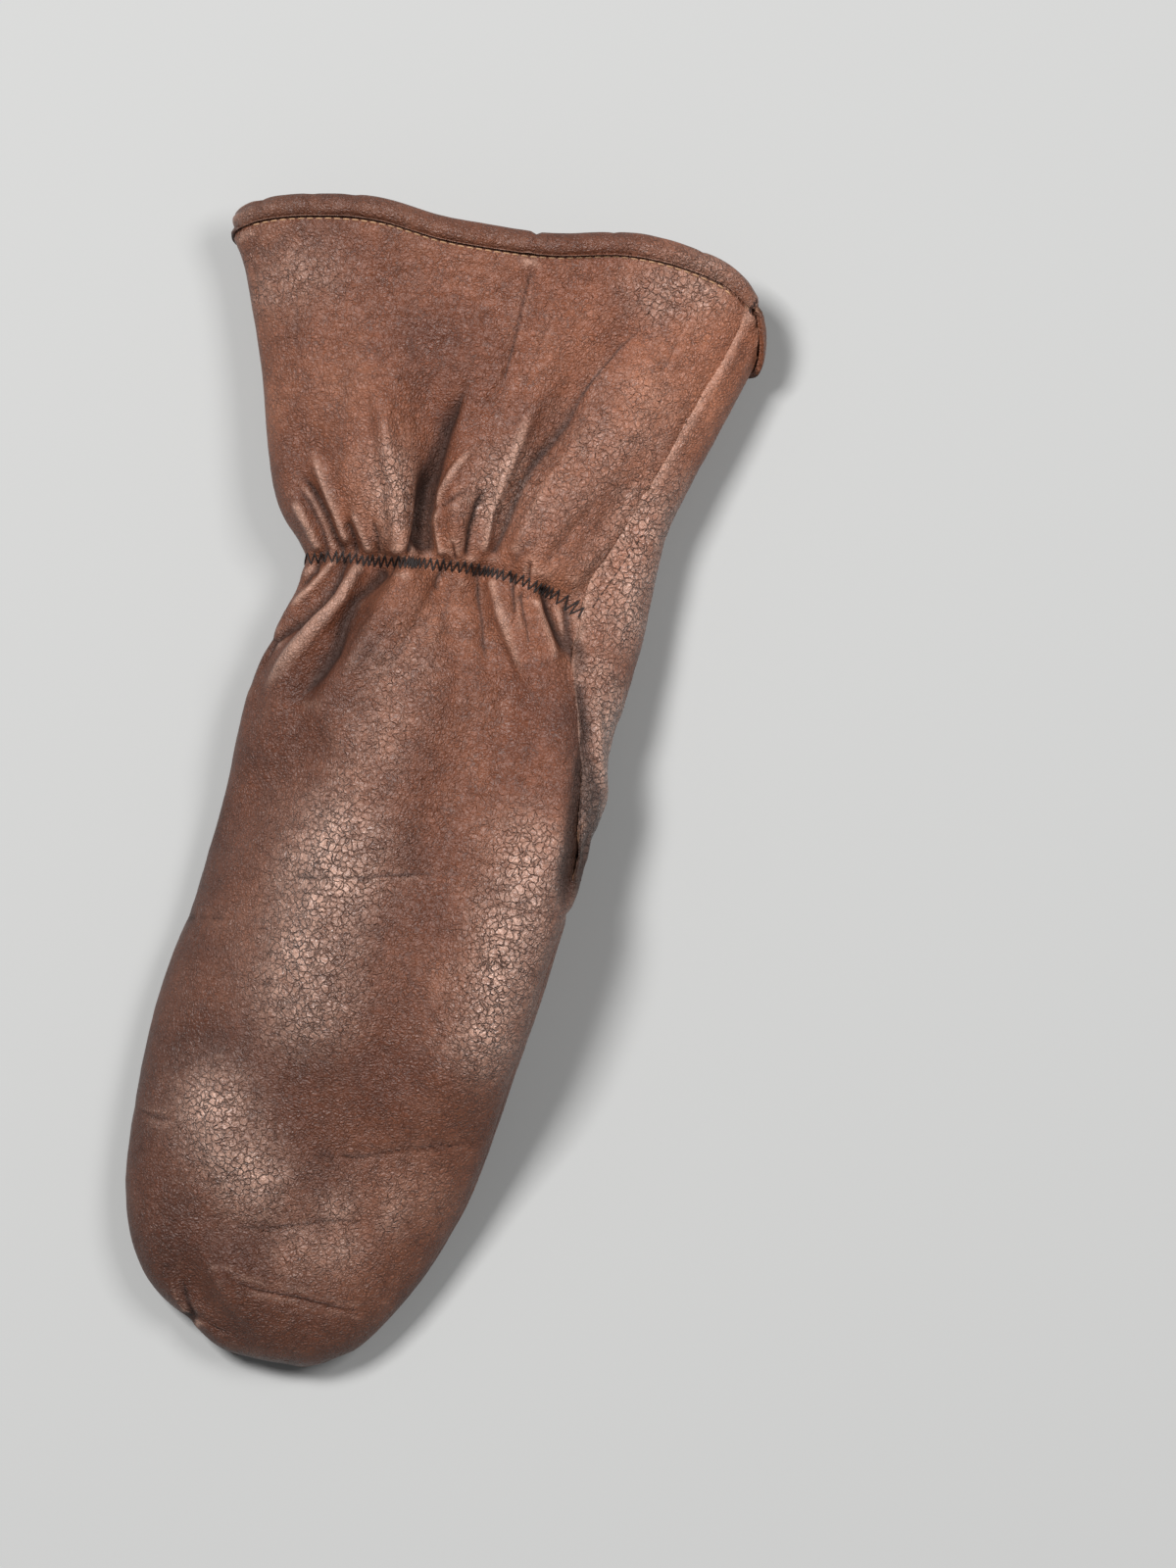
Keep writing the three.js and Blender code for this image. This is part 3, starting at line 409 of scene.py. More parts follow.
def point_tree(places: np.ndarray) -> KDTree:
    """Gathers points for finding the nearest one.

    Args:
        places: Rows of x, y and z.

    Returns:
        The tree, which finds a row's number.
    """
    tree = KDTree(len(places))
    for index, place in enumerate(places):
        tree.insert(place, index)
    tree.balance()
    return tree


def face_tree(meshes: Iterable[bpy.types.Mesh]) -> BVHTree:
    """Gathers the faces of meshes for casting rays.

    Args:
        meshes: The meshes.

    Returns:
        The tree.
    """
    every = bmesh.new()
    for mesh in meshes:
        every.from_mesh(mesh)
    tree = BVHTree.FromBMesh(every)
    every.free()
    return tree


def add_object(name: str, data: bpy.types.ID) -> bpy.types.Object:
    """Puts a mesh, curve, lamp or camera in the scene.

    Args:
        name: The object's name.
        data: What it shows.

    Returns:
        The object.
    """
    made = bpy.data.objects.new(name, data)
    bpy.context.scene.collection.objects.link(made)
    return made


def settled_mesh(thing: bpy.types.Object) -> bpy.types.Mesh:
    """Bakes an object's modifiers or curve into a new mesh."""
    seen = thing.evaluated_get(bpy.context.evaluated_depsgraph_get())
    return bpy.data.meshes.new_from_object(seen)


@dataclass
class ShaderBuilder:
    """Adds nodes to one material and links them."""

    material: bpy.types.Material

    @staticmethod
    def start(name: str) -> "ShaderBuilder":
        """Makes an empty material.

        Args:
            name: The material's name.

        Returns:
            Its builder.
        """
        material = bpy.data.materials.new(name)
        material.use_nodes = True
        material.node_tree.nodes.clear()
        return ShaderBuilder(material)

    def close(self, inputs: dict[str, Any]) -> bpy.types.Material:
        """Adds the surface.

        Args:
            inputs: What goes into it, by name.

        Returns:
            The finished material.
        """
        surface = self.add("ShaderNodeBsdfPrincipled", inputs)
        self.add("ShaderNodeOutputMaterial", {"Surface": surface.outputs[0]})
        return self.material

    def add(self, kind: str, inputs: dict[str, Any] | None = None, **settings: Any) -> bpy.types.Node:
        """Adds a node.

        Args:
            kind: The node's type.
            inputs: What goes into its inputs, by name: a socket to link or a value to set.
            settings: The node's own settings.

        Returns:
            The node.
        """
        node = self.material.node_tree.nodes.new(kind)
        for name, value in settings.items():
            setattr(node, name, value)
        for name, value in (inputs or {}).items():
            self.feed(node.inputs[name], value)
        return node

    def feed(self, socket: bpy.types.NodeSocket, value: Any) -> None:
        """Links a socket into an input, or sets the input's value.

        Args:
            socket: The input.
            value: A socket or a value.
        """
        if isinstance(value, bpy.types.NodeSocket):
            self.material.node_tree.links.new(value, socket)
        else:
            socket.default_value = value

    def math(self, operation: str, first: Any, second: Any) -> bpy.types.NodeSocket:
        """Combines two numbers.

        Args:
            operation: The operation's name.
            first: A socket or a value.
            second: A socket or a value.

        Returns:
            The result's socket.
        """
        node = self.add("ShaderNodeMath", operation=operation)
        self.feed(node.inputs[0], first)
        self.feed(node.inputs[1], second)
        return node.outputs[0]

    def product(self, first: Any, *others: Any) -> bpy.types.NodeSocket:
        """Multiplies sockets and values."""
        for other in others:
            first = self.math("MULTIPLY", first, other)
        return first

    def blend(self, first: Any, second: Any, share: Any, mode: str = "MIX") -> bpy.types.NodeSocket:
        """Blends two colours.

        Args:
            first: The colour below.
            second: The colour above.
            share: How much of the second shows.
            mode: How it is laid over the first.

        Returns:
            The blended colour's socket.
        """
        node = self.add("ShaderNodeMix", data_type="RGBA", blend_type=mode)
        self.feed(node.inputs[0], share)
        self.feed(node.inputs[6], first)
        self.feed(node.inputs[7], second)
        return node.outputs[2]

    def toned(self, colour: Any, share: Any) -> bpy.types.NodeSocket:
        """Darkens or lightens a colour by a share."""
        grey = self.add("ShaderNodeCombineColor", {"Red": share, "Green": share, "Blue": share})
        return self.blend(colour, grey.outputs["Color"], 1.0, "MULTIPLY")

    def ramp(self, value: Any, stops: tuple[tuple[float, tuple], ...]) -> bpy.types.NodeSocket:
        """Reads a colour off a row of stops.

        Args:
            value: Where to read, from 0 to 1.
            stops: Places with their colours.

        Returns:
            The colour's socket.
        """
        node = self.add("ShaderNodeValToRGB", {"Fac": value})
        places = node.color_ramp.elements
        places[0].position, places[0].color = stops[0]
        places[1].position, places[1].color = stops[-1]
        for place, colour in stops[1:-1]:
            places.new(place).color = colour
        return node.outputs["Color"]

    def spread(self, value: Any, low: float, high: float, to_low: float = 0, to_high: float = 1) -> Any:
        """Maps a range onto another, held at its ends.

        Args:
            value: The value to map.
            low: Start of the range.
            high: End of the range.
            to_low: What the start becomes.
            to_high: What the end becomes.

        Returns:
            The result's socket.
        """
        inputs = {"Value": value, "From Min": low, "From Max": high, "To Min": to_low, "To Max": to_high}
        return self.add("ShaderNodeMapRange", inputs).outputs["Result"]

    def share_at(self, share_kind: LeatherShares) -> bpy.types.NodeSocket:
        """Reads one of the shares kept on the leather."""
        return self.add("ShaderNodeAttribute", attribute_name=share_kind.value).outputs["Fac"]

    def place(self) -> bpy.types.NodeSocket:
        """Reads the place on the piece."""
        return self.add("ShaderNodeTexCoord").outputs["Object"]

    def stretched(self, place: Any, scale: tuple[float, float, float]) -> bpy.types.NodeSocket:
        """Stretches what is drawn on the places."""
        return self.add("ShaderNodeMapping", {"Vector": place, "Scale": scale}).outputs[0]

    def bent(self, place: Any, scale: float, detail: float, push: float) -> bpy.types.NodeSocket:
        """Shifts the places softly, so that lines drawn on them run less straight.

        Args:
            place: The position's socket.
            scale: Bends in a metre.
            detail: How many finer layers they have.
            push: How far they shift, in metres.

        Returns:
            The shifted position's socket.
        """
        warp = self.add("ShaderNodeTexNoise", {"Vector": place, "Scale": scale, "Detail": detail})
        pushed = self.add("ShaderNodeVectorMath", {"Scale": push}, operation="SCALE")
        self.feed(pushed.inputs[0], warp.outputs["Color"])
        moved = self.add("ShaderNodeVectorMath", operation="ADD")
        self.feed(moved.inputs[0], place)
        self.feed(moved.inputs[1], pushed.outputs[0])
        return moved.outputs[0]

    def clouds(
        self, place: Any, scale: float, detail: float = 4, rough: float = 0.55
    ) -> bpy.types.NodeSocket:
        """Makes soft mottling.

        Args:
            place: The position's socket.
            scale: Patches in a metre.
            detail: How many finer layers it has.
            rough: How strong those are.

        Returns:
            A value round one half.
        """
        inputs = {"Vector": place, "Scale": scale, "Detail": detail, "Roughness": rough}
        return self.add("ShaderNodeTexNoise", inputs).outputs["Fac"]

    def cell_edges(self, place: Any, scale: float) -> bpy.types.NodeSocket:
        """Measures the distance to the borders of small cells.

        Args:
            place: The position's socket.
            scale: Cells in a metre.

        Returns:
            The distance, in shares of a cell.
        """
        inputs = {"Vector": place, "Scale": scale, "Randomness": 1.0}
        return self.add("ShaderNodeTexVoronoi", inputs, feature="DISTANCE_TO_EDGE").outputs["Distance"]

    def relief(self, height: Any, depth: float, strength: float, below: Any = None) -> bpy.types.NodeSocket:
        """Adds a layer of fine relief.

        Args:
            height: The height's socket.
            depth: How deep a full step is, in metres.
            strength: How much of it shows.
            below: The relief under it.

        Returns:
            The normal's socket.
        """
        node = self.add("ShaderNodeBump", {"Height": height, "Distance": depth, "Strength": strength})
        if below is not None:
            self.feed(node.inputs["Normal"], below)
        return node.outputs["Normal"]


@dataclass(frozen=True)
class LeatherPatterns:
    """The sockets that the leather's colour, relief and gloss share."""

    place: Any
    curved: Any
    ragged: Any
    cells: Any
    grains: Any
    ridge: Any
    valley: Any
    crackle: Any
    inside: Any


@dataclass(frozen=True)
class LeatherFinish:
    """Grained, waxed brown leather with a rough flesh side."""

    name: str
    dark: Colour = (78, 42, 28)
    middle: Colour = (108, 64, 45)
    light: Colour = (133, 85, 63)
    # Lighter tan for ridges and crackle: partly rubbed wear, partly painted highlight.
    rubbed_and_highlight: Colour = (210, 168, 148)
    flesh: Colour = (134, 98, 74)
    vein: Colour = (58, 32, 25)
    # Near-black brown for the valleys: painted shade.
    valley_shade: Colour = (34, 18, 12)
    crack: Colour = (50, 27, 19)
    grain_line: Colour = (56, 31, 22)
    roughness: float = 0.38
    shade: float = 1.0
    # How much of the lighter tan the ridges take: rubbing and painted highlight.
    ridge_rub_and_highlight: float = 0.42
    # How much of the lighter tan the crackle takes, with the painted glints: rubbing and painted highlight.
    crackle_rub_and_highlight: float = 0.95
    half_length: float = 0.168
    cell_scale: float = 480.0
    cell_depth: float = 0.0006
    grain_scale: float = 900.0
    grain_depth: float = 0.00027
    wrinkle_scale: float = 240.0
    wrinkle_depth: float = 0.0012
    pit_scale: float = 1500.0
    pit_depth: float = 0.0002
    crepe_scale: float = 620.0
    crepe_depth: float = 0.0012

    def build(self) -> bpy.types.Material:
        """Builds the material.

        Returns:
            The material.
        """
        shader = ShaderBuilder.start(self.name)
        place = shader.place()
        ragged = shader.bent(place, 380.0, 2.0, 0.0034)
        ridge, valley, crackle, inside = (shader.share_at(share_kind) for share_kind in LeatherShares)
        patchy = shader.spread(shader.clouds(place, 90.0, 4.0, 0.6), 0.35, 0.65, 0.5, 1.0)
        patterns = LeatherPatterns(
            place=place,
            curved=shader.bent(place, 45.0, 3.0, 0.022),
            ragged=ragged,
            cells=shader.cell_edges(ragged, self.cell_scale),
            grains=shader.cell_edges(ragged, self.grain_scale),
            ridge=ridge,
            valley=valley,
            crackle=shader.product(crackle, patchy),
            inside=inside,
        )
        colour = self._painted_light_and_wear(shader, patterns, self._ground_colour(shader, patterns))
        normal = self._relief(shader, patterns)
        return shader.close(
            {
                "Base Color": colour,
                "Roughness": self._gloss(shader, patterns),
                "Normal": normal,
                "Specular IOR Level": 0.42,
                "Coat Weight": shader.product(patterns.crackle, 0.9),
                "Coat Roughness": 0.3,
                "Coat Normal": normal,
            }
        )

    def _ground_colour(self, shader: ShaderBuilder, patterns: LeatherPatterns) -> bpy.types.NodeSocket:
        """Makes the ground colour: patches, a tint along it that darkens towards the fingertips, painted
        shade and light across it, veins, streaks and flecks.

        Args:
            shader: The material's builder.
            patterns: The shared sockets.

        Returns:
            The colour's socket.
        """
        place = patterns.place
        tones = (0.3, linear(*self.dark)), (0.5, linear(*self.middle)), (0.72, linear(*self.light))
        colour = shader.ramp(shader.clouds(place, 24.0, 6.0, 0.6), tones)
        ways = shader.add("ShaderNodeSeparateXYZ", {"Vector": place}).outputs
        along = shader.spread(ways["Y"], -self.half_length, self.half_length)
        tint = shader.ramp(along, tuple((at, (*tone, 1)) for at, *tone in LENGTH_TINT))
        colour = shader.blend(colour, tint, 1.0, "MULTIPLY")
        # Painted shade and light across the hand: the little finger's side is darker, the thumb's side
        # lighter.
        colour = shader.toned(
            colour, shader.spread(ways["X"], -0.07, 0.06, 0.7 * self.shade, 1.16 * self.shade)
        )
        vein_share = shader.spread(shader.cell_edges(patterns.curved, 26.0), 0.0, 0.035, 0.34, 0.0)
        vein_mask = shader.spread(shader.clouds(place, 17.0, 2.0), 0.45, 0.65)
        colour = shader.blend(colour, linear(*self.vein), shader.product(vein_share, vein_mask))
        streak_place = shader.stretched(place, (1.0, 0.12, 0.6))
        streaks = shader.spread(shader.clouds(streak_place, 130.0, 4.0, 0.6), 0.3, 0.7, 0.86, 1.12)
        flecks = shader.spread(shader.clouds(place, 520.0, 5.0, 0.7), 0.3, 0.7, 0.8, 1.2)
        return shader.toned(colour, shader.product(flecks, streaks))

    def _painted_light_and_wear(
        self, shader: ShaderBuilder, patterns: LeatherPatterns, colour: bpy.types.NodeSocket
    ) -> bpy.types.NodeSocket:
        """Lays ridges lightened by rubbing and painted highlight, valleys darkened as painted shade, crackle
        lightened by rubbing and painted glints, cracks, grain lines and the flesh side over the colour.

        Args:
            shader: The material's builder.
            patterns: The shared sockets.
            colour: The ground colour.

        Returns:
            The colour's socket.
        """
        place, crackle = patterns.place, patterns.crackle
        glints = shader.spread(shader.clouds(place, 420.0, 3.0, 0.6), 0.36, 0.64, 0.45, 1.0)
        cell_line = shader.spread(patterns.cells, 0.0, 0.11, 1.0, 0.0)
        cell_share = shader.math("ADD", shader.product(crackle, 0.72), 0.1)
        grain_mask = shader.spread(shader.clouds(place, 260.0, 3.0), 0.4, 0.62, 0.1, 0.68)
        grain_line = shader.spread(patterns.grains, 0.0, 0.18, 1.0, 0.0)
        layers = (
            # Ridges painted lighter: rubbing and painted highlight.
            (self.rubbed_and_highlight, shader.product(patterns.ridge, self.ridge_rub_and_highlight)),
            # Crackle painted lighter with glints: rubbing and painted highlight.
            (self.rubbed_and_highlight, shader.product(crackle, glints, self.crackle_rub_and_highlight)),
            # Valleys painted dark: painted shade.
            (self.valley_shade, shader.product(patterns.valley, 0.8)),
            (self.crack, shader.product(cell_line, cell_share)),
            (self.grain_line, shader.product(grain_line, grain_mask)),
            (self.flesh, patterns.inside),
        )
        for over, share in layers:
            colour = shader.blend(colour, linear(*over), share)
        return colour

    def _relief(self, shader: ShaderBuilder, patterns: LeatherPatterns) -> bpy.types.NodeSocket:
        """Makes the fine relief: wrinkles, grain, pits, crackle and the crepe of the valleys.

        Args:
            shader: The material's builder.
            patterns: The shared sockets.

        Returns:
            The normal's socket.
        """
        wrinkle_place = shader.stretched(patterns.curved, (1.0, 0.45, 1.0))
        wrinkles = shader.clouds(wrinkle_place, self.wrinkle_scale, 6.0, 0.62)
        normal = shader.relief(wrinkles, self.wrinkle_depth, 0.75)
        normal = shader.relief(shader.spread(patterns.grains, 0.0, 0.4), self.grain_depth, 0.85, normal)
        pits = shader.clouds(patterns.place, self.pit_scale, 3.0, 0.6)
        normal = shader.relief(pits, self.pit_depth, 0.4, normal)
        crackled = shader.math("ADD", patterns.crackle, 0.12)
        cell_height = shader.product(shader.spread(patterns.cells, 0.0, 0.12), crackled)
        normal = shader.relief(cell_height, self.cell_depth, 0.95, normal)
        crepe_place = shader.stretched(patterns.ragged, (0.55, 1.0, 1.0))
        crepe = shader.product(shader.clouds(crepe_place, self.crepe_scale, 3.0), patterns.valley)
        return shader.relief(crepe, self.crepe_depth, 0.6, normal)

    def _gloss(self, shader: ShaderBuilder, patterns: LeatherPatterns) -> bpy.types.NodeSocket:
        """Makes the crackle glossier and the valleys and the flesh side duller.

        Args:
            shader: The material's builder.
            patterns: The shared sockets.

        Returns:
            The roughness's socket.
        """
        mottling = shader.clouds(patterns.place, 60.0, 5.0, 0.6)
        gloss = shader.spread(mottling, 0.3, 0.7, self.roughness, self.roughness + 0.12)
        gloss = shader.math("SUBTRACT", gloss, shader.product(patterns.crackle, 0.06))
        gloss = shader.math("ADD", gloss, shader.product(patterns.valley, 0.25))
        return shader.math("ADD", gloss, shader.product(patterns.inside, 0.4))


@dataclass(frozen=True)
class ThreadFinish:
    """Twisted sewing thread."""

    name: str
    colour: Colour

    def build(self) -> bpy.types.Material:
        """Builds the material.

        Returns:
            The material.
        """
        shader = ShaderBuilder.start(self.name)
        strands = shader.clouds(shader.place(), 2600.0, 2.0)
        colour = linear(*self.colour)
        dark = (*(0.6 * share for share in colour[:3]), 1)
        shade = shader.ramp(strands, ((0.3, dark), (0.7, colour)))
        normal = shader.relief(strands, 0.0001, 0.5)
        return shader.close({"Base Color": shade, "Roughness": 0.7, "Normal": normal})


@dataclass(frozen=True)
class HemForm:
    """The hem's roll and the leather against it, in millimetres from the cuff's edge."""

    flat_from: float = 5.0
    thinned: float = 1.5
    crest: float = 0.8
    crest_at: float = 3.4
    crest_width: float = 2.0
    corner_thinned: float = 1.1
    beside: float = 0.75
    beside_at: float = 1.6
    beside_width: float = 2.2
    corner_swell: float = 0.8
    corner_from: float = 24.0
    corner_to: float = 9.0

    def rise(self, rolled: bool, plan: np.ndarray, outward: np.ndarray, from_rim: np.ndarray) -> np.ndarray:
        """Gives how far the leather rises near the cuff's edge.

        Args:
            rolled: Whether it is the hem itself.
            plan: The points on the plan.
            outward: The way out of the mitten at each point.
            from_rim: Each point's distance from the edge.

        Returns:
            The rise at each point, in millimetres.
        """
        corner = ease(0.3, 0.9, -outward[:, 0]) * ease(0, -50, plan[:, 0])
        if rolled:
            flat = ease(self.flat_from, HEM_WIDTH, from_rim)
            crest = self.crest * bell(from_rim - self.crest_at, self.crest_width)
            thinned = self.thinned * flat - crest + self.corner_thinned * corner * (1 - flat)
            return lift_of(HEM_CREASES, plan, True) - thinned
        beside = self.beside * bell(from_rim - HEM_WIDTH - self.beside_at, self.beside_width)
        beside *= ease(HEM_WIDTH - 0.6, HEM_WIDTH + 0.5, from_rim)
        return beside + self.corner_swell * corner * ease(self.corner_from, self.corner_to, from_rim)


@dataclass(frozen=True)
class SeamForm:
    """The edge that stands proud along a seam, in millimetres from the neighbour."""

    turns_from: float = 9.0
    turned_at: float = 1.5
    ridge_at: float = 2.2
    ridge_width: float = 1.2
    ridge: float = 0.6


@dataclass(frozen=True)
class ShareForm:
    """How bends and folds of the leather turn into its shares: painted highlight and rubbing on ridges,
    painted shade in valleys, crackle on the listed spots.
    """

    rounds: int = 6
    least_span: float = 0.3
    spot_width: float = 0.74
    bent_out: tuple[float, float] = (0.06, 0.5)
    bent_in: tuple[float, float] = (0.1, 0.6)
    lifted: tuple[float, float] = (0.2, 1.0)
    pressed: tuple[float, float] = (0.25, 1.7)


@dataclass
class LeatherPiece:
    """One piece of leather, made from a copy of its CAD piece."""

    node: str
    name: str
    slot: str
    finish: LeatherFinish
    grid: Grid = Grid.PANEL
    levels: int = 2
    cell: float = 1.15 * MM
    merge: float = 0.01 * MM
    ripple: float = 0.28
    side_drop: float = 3.0
    wall: float = 1.6
    rolled: bool = False
    fine_area: bool = False
    mouth_from: float = math.inf
    hem_form: HemForm = HemForm()
    seam_form: SeamForm = SeamForm()
    share_form: ShareForm = ShareForm()
    body: bpy.types.Object | None = field(default=None, repr=False)
    outside: np.ndarray | None = field(default=None, repr=False)
    outward: np.ndarray | None = field(default=None, repr=False)

    def build(self) -> bpy.types.Object:
        """Makes the fine mesh of the piece.

        Returns:
            The piece.
        """
        self.body = add_object(self.name, self._merged_copy())
        if self.grid is Grid.PANEL:
            finer = self.body.modifiers.new("finer", "SUBSURF")
            finer.levels = finer.render_levels = self.levels
        else:
            finer = self.body.modifiers.new("even", "REMESH")
            finer.mode = "VOXEL"
            finer.voxel_size = self.cell
        old = self.body.data
        settled = settled_mesh(self.body)
        self.body.modifiers.clear()
        self.body.data = settled
        bpy.data.meshes.remove(old)
        settled.name = self.name
        if self.grid is Grid.EVEN:
            self._smooth(4)
        if self.fine_area:
            self._refine()
        self.body.data.polygons.foreach_set("use_smooth", [True] * len(self.body.data.polygons))
        return self.body

    def _merged_copy(self) -> bpy.types.Mesh:
        """Copies the CAD piece, merges its loose triangles and keeps the palm's corner sharp.

        Returns:
            The copy.
        """
        rough = bmesh.new()
        rough.from_mesh(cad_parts[self.node].data)
        bmesh.ops.remove_doubles(rough, verts=rough.verts, dist=self.merge)
        if self.grid is Grid.PANEL:
            bmesh.ops.join_triangles(
                rough,
                faces=rough.faces,
                angle_face_threshold=math.radians(60),
                angle_shape_threshold=math.radians(70),
            )
            kept = rough.verts.layers.float.new("crease_vert")
            for vertex in rough.verts:
                if (vertex.co - Vector(PALM_CORNER) * MM).length < CORNER_REACH * MM:
                    vertex[kept] = 1.0
        mesh = bpy.data.meshes.new(self.name)
        rough.to_mesh(mesh)
        rough.free()
        if "custom_normal" in mesh.attributes:
            mesh.attributes.remove(mesh.attributes["custom_normal"])
        return mesh

    def _refine(self) -> None:
        """Splits the faces of the upper side where the gathers and the fine creases run."""
        fine = bmesh.new()
        fine.from_mesh(self.body.data)
        for with_gathers in (True, False):
            fine.normal_update()
            plan = np.array([vertex.co[:2] for vertex in fine.verts]) / MM
            wanted = np.zeros(len(plan), bool)
            for fold in CREASES + SIDE_FOLDS + PRESSED:
                if fold.width < FINE_FOLD:
                    wanted |= nearest_on(fold.path, plan)[0] < fold.width + FINE_MARGIN
            gathered = (plan[:, 1] > GATHERED[0]) & (plan[:, 1] < GATHERED[1])
            wanted = wanted | gathered if with_gathers else wanted & ~gathered
            chosen = {vertex for vertex, want in zip(fine.verts, wanted) if want and vertex.normal.z > 0.05}
            sides = [edge for edge in fine.edges if edge.verts[0] in chosen and edge.verts[1] in chosen]
            bmesh.ops.subdivide_edges(fine, edges=sides, cuts=1, use_grid_fill=True)
        fine.to_mesh(self.body.data)
        fine.free()

    def _smooth(self, rounds: int) -> None:
        """Evens the mesh by moving each point towards its neighbours.

        Args:
            rounds: How many times.
        """
        fine = bmesh.new()
        fine.from_mesh(self.body.data)
        ways = {"use_axis_x": True, "use_axis_y": True, "use_axis_z": True}
        for _ in range(rounds):
            bmesh.ops.smooth_vert(fine, verts=fine.verts, factor=0.5, **ways)
        fine.to_mesh(self.body.data)
        fine.free()

    def turn_outward(self, sides: "Sides") -> None:
        """Finds the outer face of the leather and the way out of the mitten at each point.

        Args:
            sides: Where the mitten's sides and walls are.
        """
        mesh = self.body.data
        normals = normal_array(mesh)
        self.outside = sides.outside(vertex_array(mesh), normals, self.mouth_from)
        self.outward = unit_rows(spread_over(edge_array(mesh), normals * (2 * self.outside - 1)[:, None], 10))

    def crease(self, sides: "Sides", seam: "SeamFinder | None", rim: Plan) -> None:
        """Lifts and presses the leather by the tables, and keeps its shares of painted highlight, painted
        shade and wear.

        The flesh side moves with the outer side over it, so that the wall keeps its thickness.

        Args:
            sides: Where the mitten's sides are.
            seam: The neighbour along whose seam this piece stands proud.
            rim: The cuff's edge on the plan.
        """
        mesh = self.body.data
        places = vertex_array(mesh)
        normals = normal_array(mesh)
        outside, outward = self.outside, self.outward
        if seam is not None:
            gap, shared = seam.measure_from(places)
            turn = ease(self.seam_form.turns_from, self.seam_form.turned_at, gap)
            outward = unit_rows(outward + (shared - outward) * turn[:, None])
        outer = places + outward * ((1 - outside) * self.wall * MM)[:, None]
        plan = outer[:, :2] / MM
        above = ease(-self.side_drop, 2.0, (outer[:, 2] / MM) - sides.at(plan[:, 1]))
        from_rim = nearest_on(rim, plan)[0]
        clear = ease(HEM_WIDTH - 1.0, HEM_WIDTH + 6.0, from_rim)
        lift = lift_of(GATHERS, plan, True, GATHER_PULL) + lift_of(CREASES, plan) + lift_of(SWELLINGS, plan)
        lift = (lift + lift_of(SIDE_FOLDS, plan)) * clear
        lift -= GROOVE_DEPTH * bell(nearest_on(ZIGZAG_PATH, plan)[0], GROOVE_WIDTH)
        places += outward * (lift * above * MM)[:, None]
        places[:, 2] += lift_of(PRESSED, plan) * ease(0.0, 0.5, outward[:, 2]) * above * MM
        rise = self.hem_form.rise(self.rolled, plan, outward, from_rim)
        places += outward * (rise * outside * MM)[:, None]
        if seam is not None:
            ridge = bell(gap - self.seam_form.ridge_at, self.seam_form.ridge_width) * self.seam_form.ridge
            places += normals * (ridge * outside * above * MM)[:, None]
        wave = np.array([ripple_at(Vector(place)) for place in places])
        rest = ease(1.0, 6.0, places[:, 2] / MM)
        places += outward * (wave * self.ripple * MM * (0.3 + 0.7 * rest) * outside)[:, None]
        places[:, 2] = np.maximum(places[:, 2], 0.02 * MM)
        mesh.vertices.foreach_set("co", places.ravel())
        mesh.update()
        narrow = tuple(fold for fold in GATHERS + CREASES + SIDE_FOLDS + PRESSED if fold.width < WEARING_FOLD)
        self._keep_shares(places, lift_of(narrow, plan, True) * clear * above, plan)

    def _keep_shares(self, places: np.ndarray, lift: np.ndarray, plan: np.ndarray) -> None:
        """Works out the shares of painted highlight, painted shade and wear, and stores them on the mesh.

        Args:
            places: The points.
            lift: How far the folds lift each point.
            plan: The points on the plan, in millimetres.
        """
        form, mesh = self.share_form, self.body.data
        edges = edge_array(mesh)
        hollow = ((spread_over(edges, places, form.rounds) - places) * normal_array(mesh)).sum(axis=1) / MM
        spans = np.linalg.norm(places[edges[:, 0]] - places[edges[:, 1]], axis=1) / MM
        total, count = np.zeros(len(places)), np.zeros(len(places))
        np.add.at(total, edges.ravel(), np.repeat(spans, 2))
        np.add.at(count, edges.ravel(), 1)
        hollow /= np.maximum(total / np.maximum(count, 1), form.least_span) ** 2
        # The crackle share: the swellings and the listed spots, painted lighter as rubbing and highlight.
        shown = np.zeros(len(places))
        for spot in SWELLINGS + WEAR_AND_HIGHLIGHT_SPOTS:
            if spot.lift > 0:
                near = bell(nearest_on(spot.path, plan)[0], form.spot_width * spot.width)
                shown = np.maximum(shown, min(spot.lift, 1.0) * near)
        # Ridge: convex and lifted leather, painted lighter as highlight and rubbing. Valley: hollows and
        # pressed folds, painted darker as shade.
        shares = {
            LeatherShares.RIDGE: ease(*form.bent_out, -hollow) + 0.6 * ease(*form.lifted, lift),
            LeatherShares.VALLEY: ease(*form.bent_in, hollow) + 0.9 * ease(*form.pressed, -lift),
            LeatherShares.CRACKLE: shown,
            LeatherShares.INSIDE: 1 - self.outside,
        }
        for share_kind, share in shares.items():
            if share_kind is not LeatherShares.INSIDE:
                share = np.clip(share, 0, 1) * self.outside
            layer = mesh.attributes.new(share_kind.value, "FLOAT", "POINT")
            layer.data.foreach_set("value", spread_over(edges, np.clip(share, 0, 1), 1).astype(np.float32))

    def dress(self) -> None:
        """Gives the piece its finish and puts it in place of its CAD piece."""
        self.body.data.materials.clear()
        self.body.data.materials.append(self.finish.build())
        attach(self.body, "root")
        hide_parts(self.node)


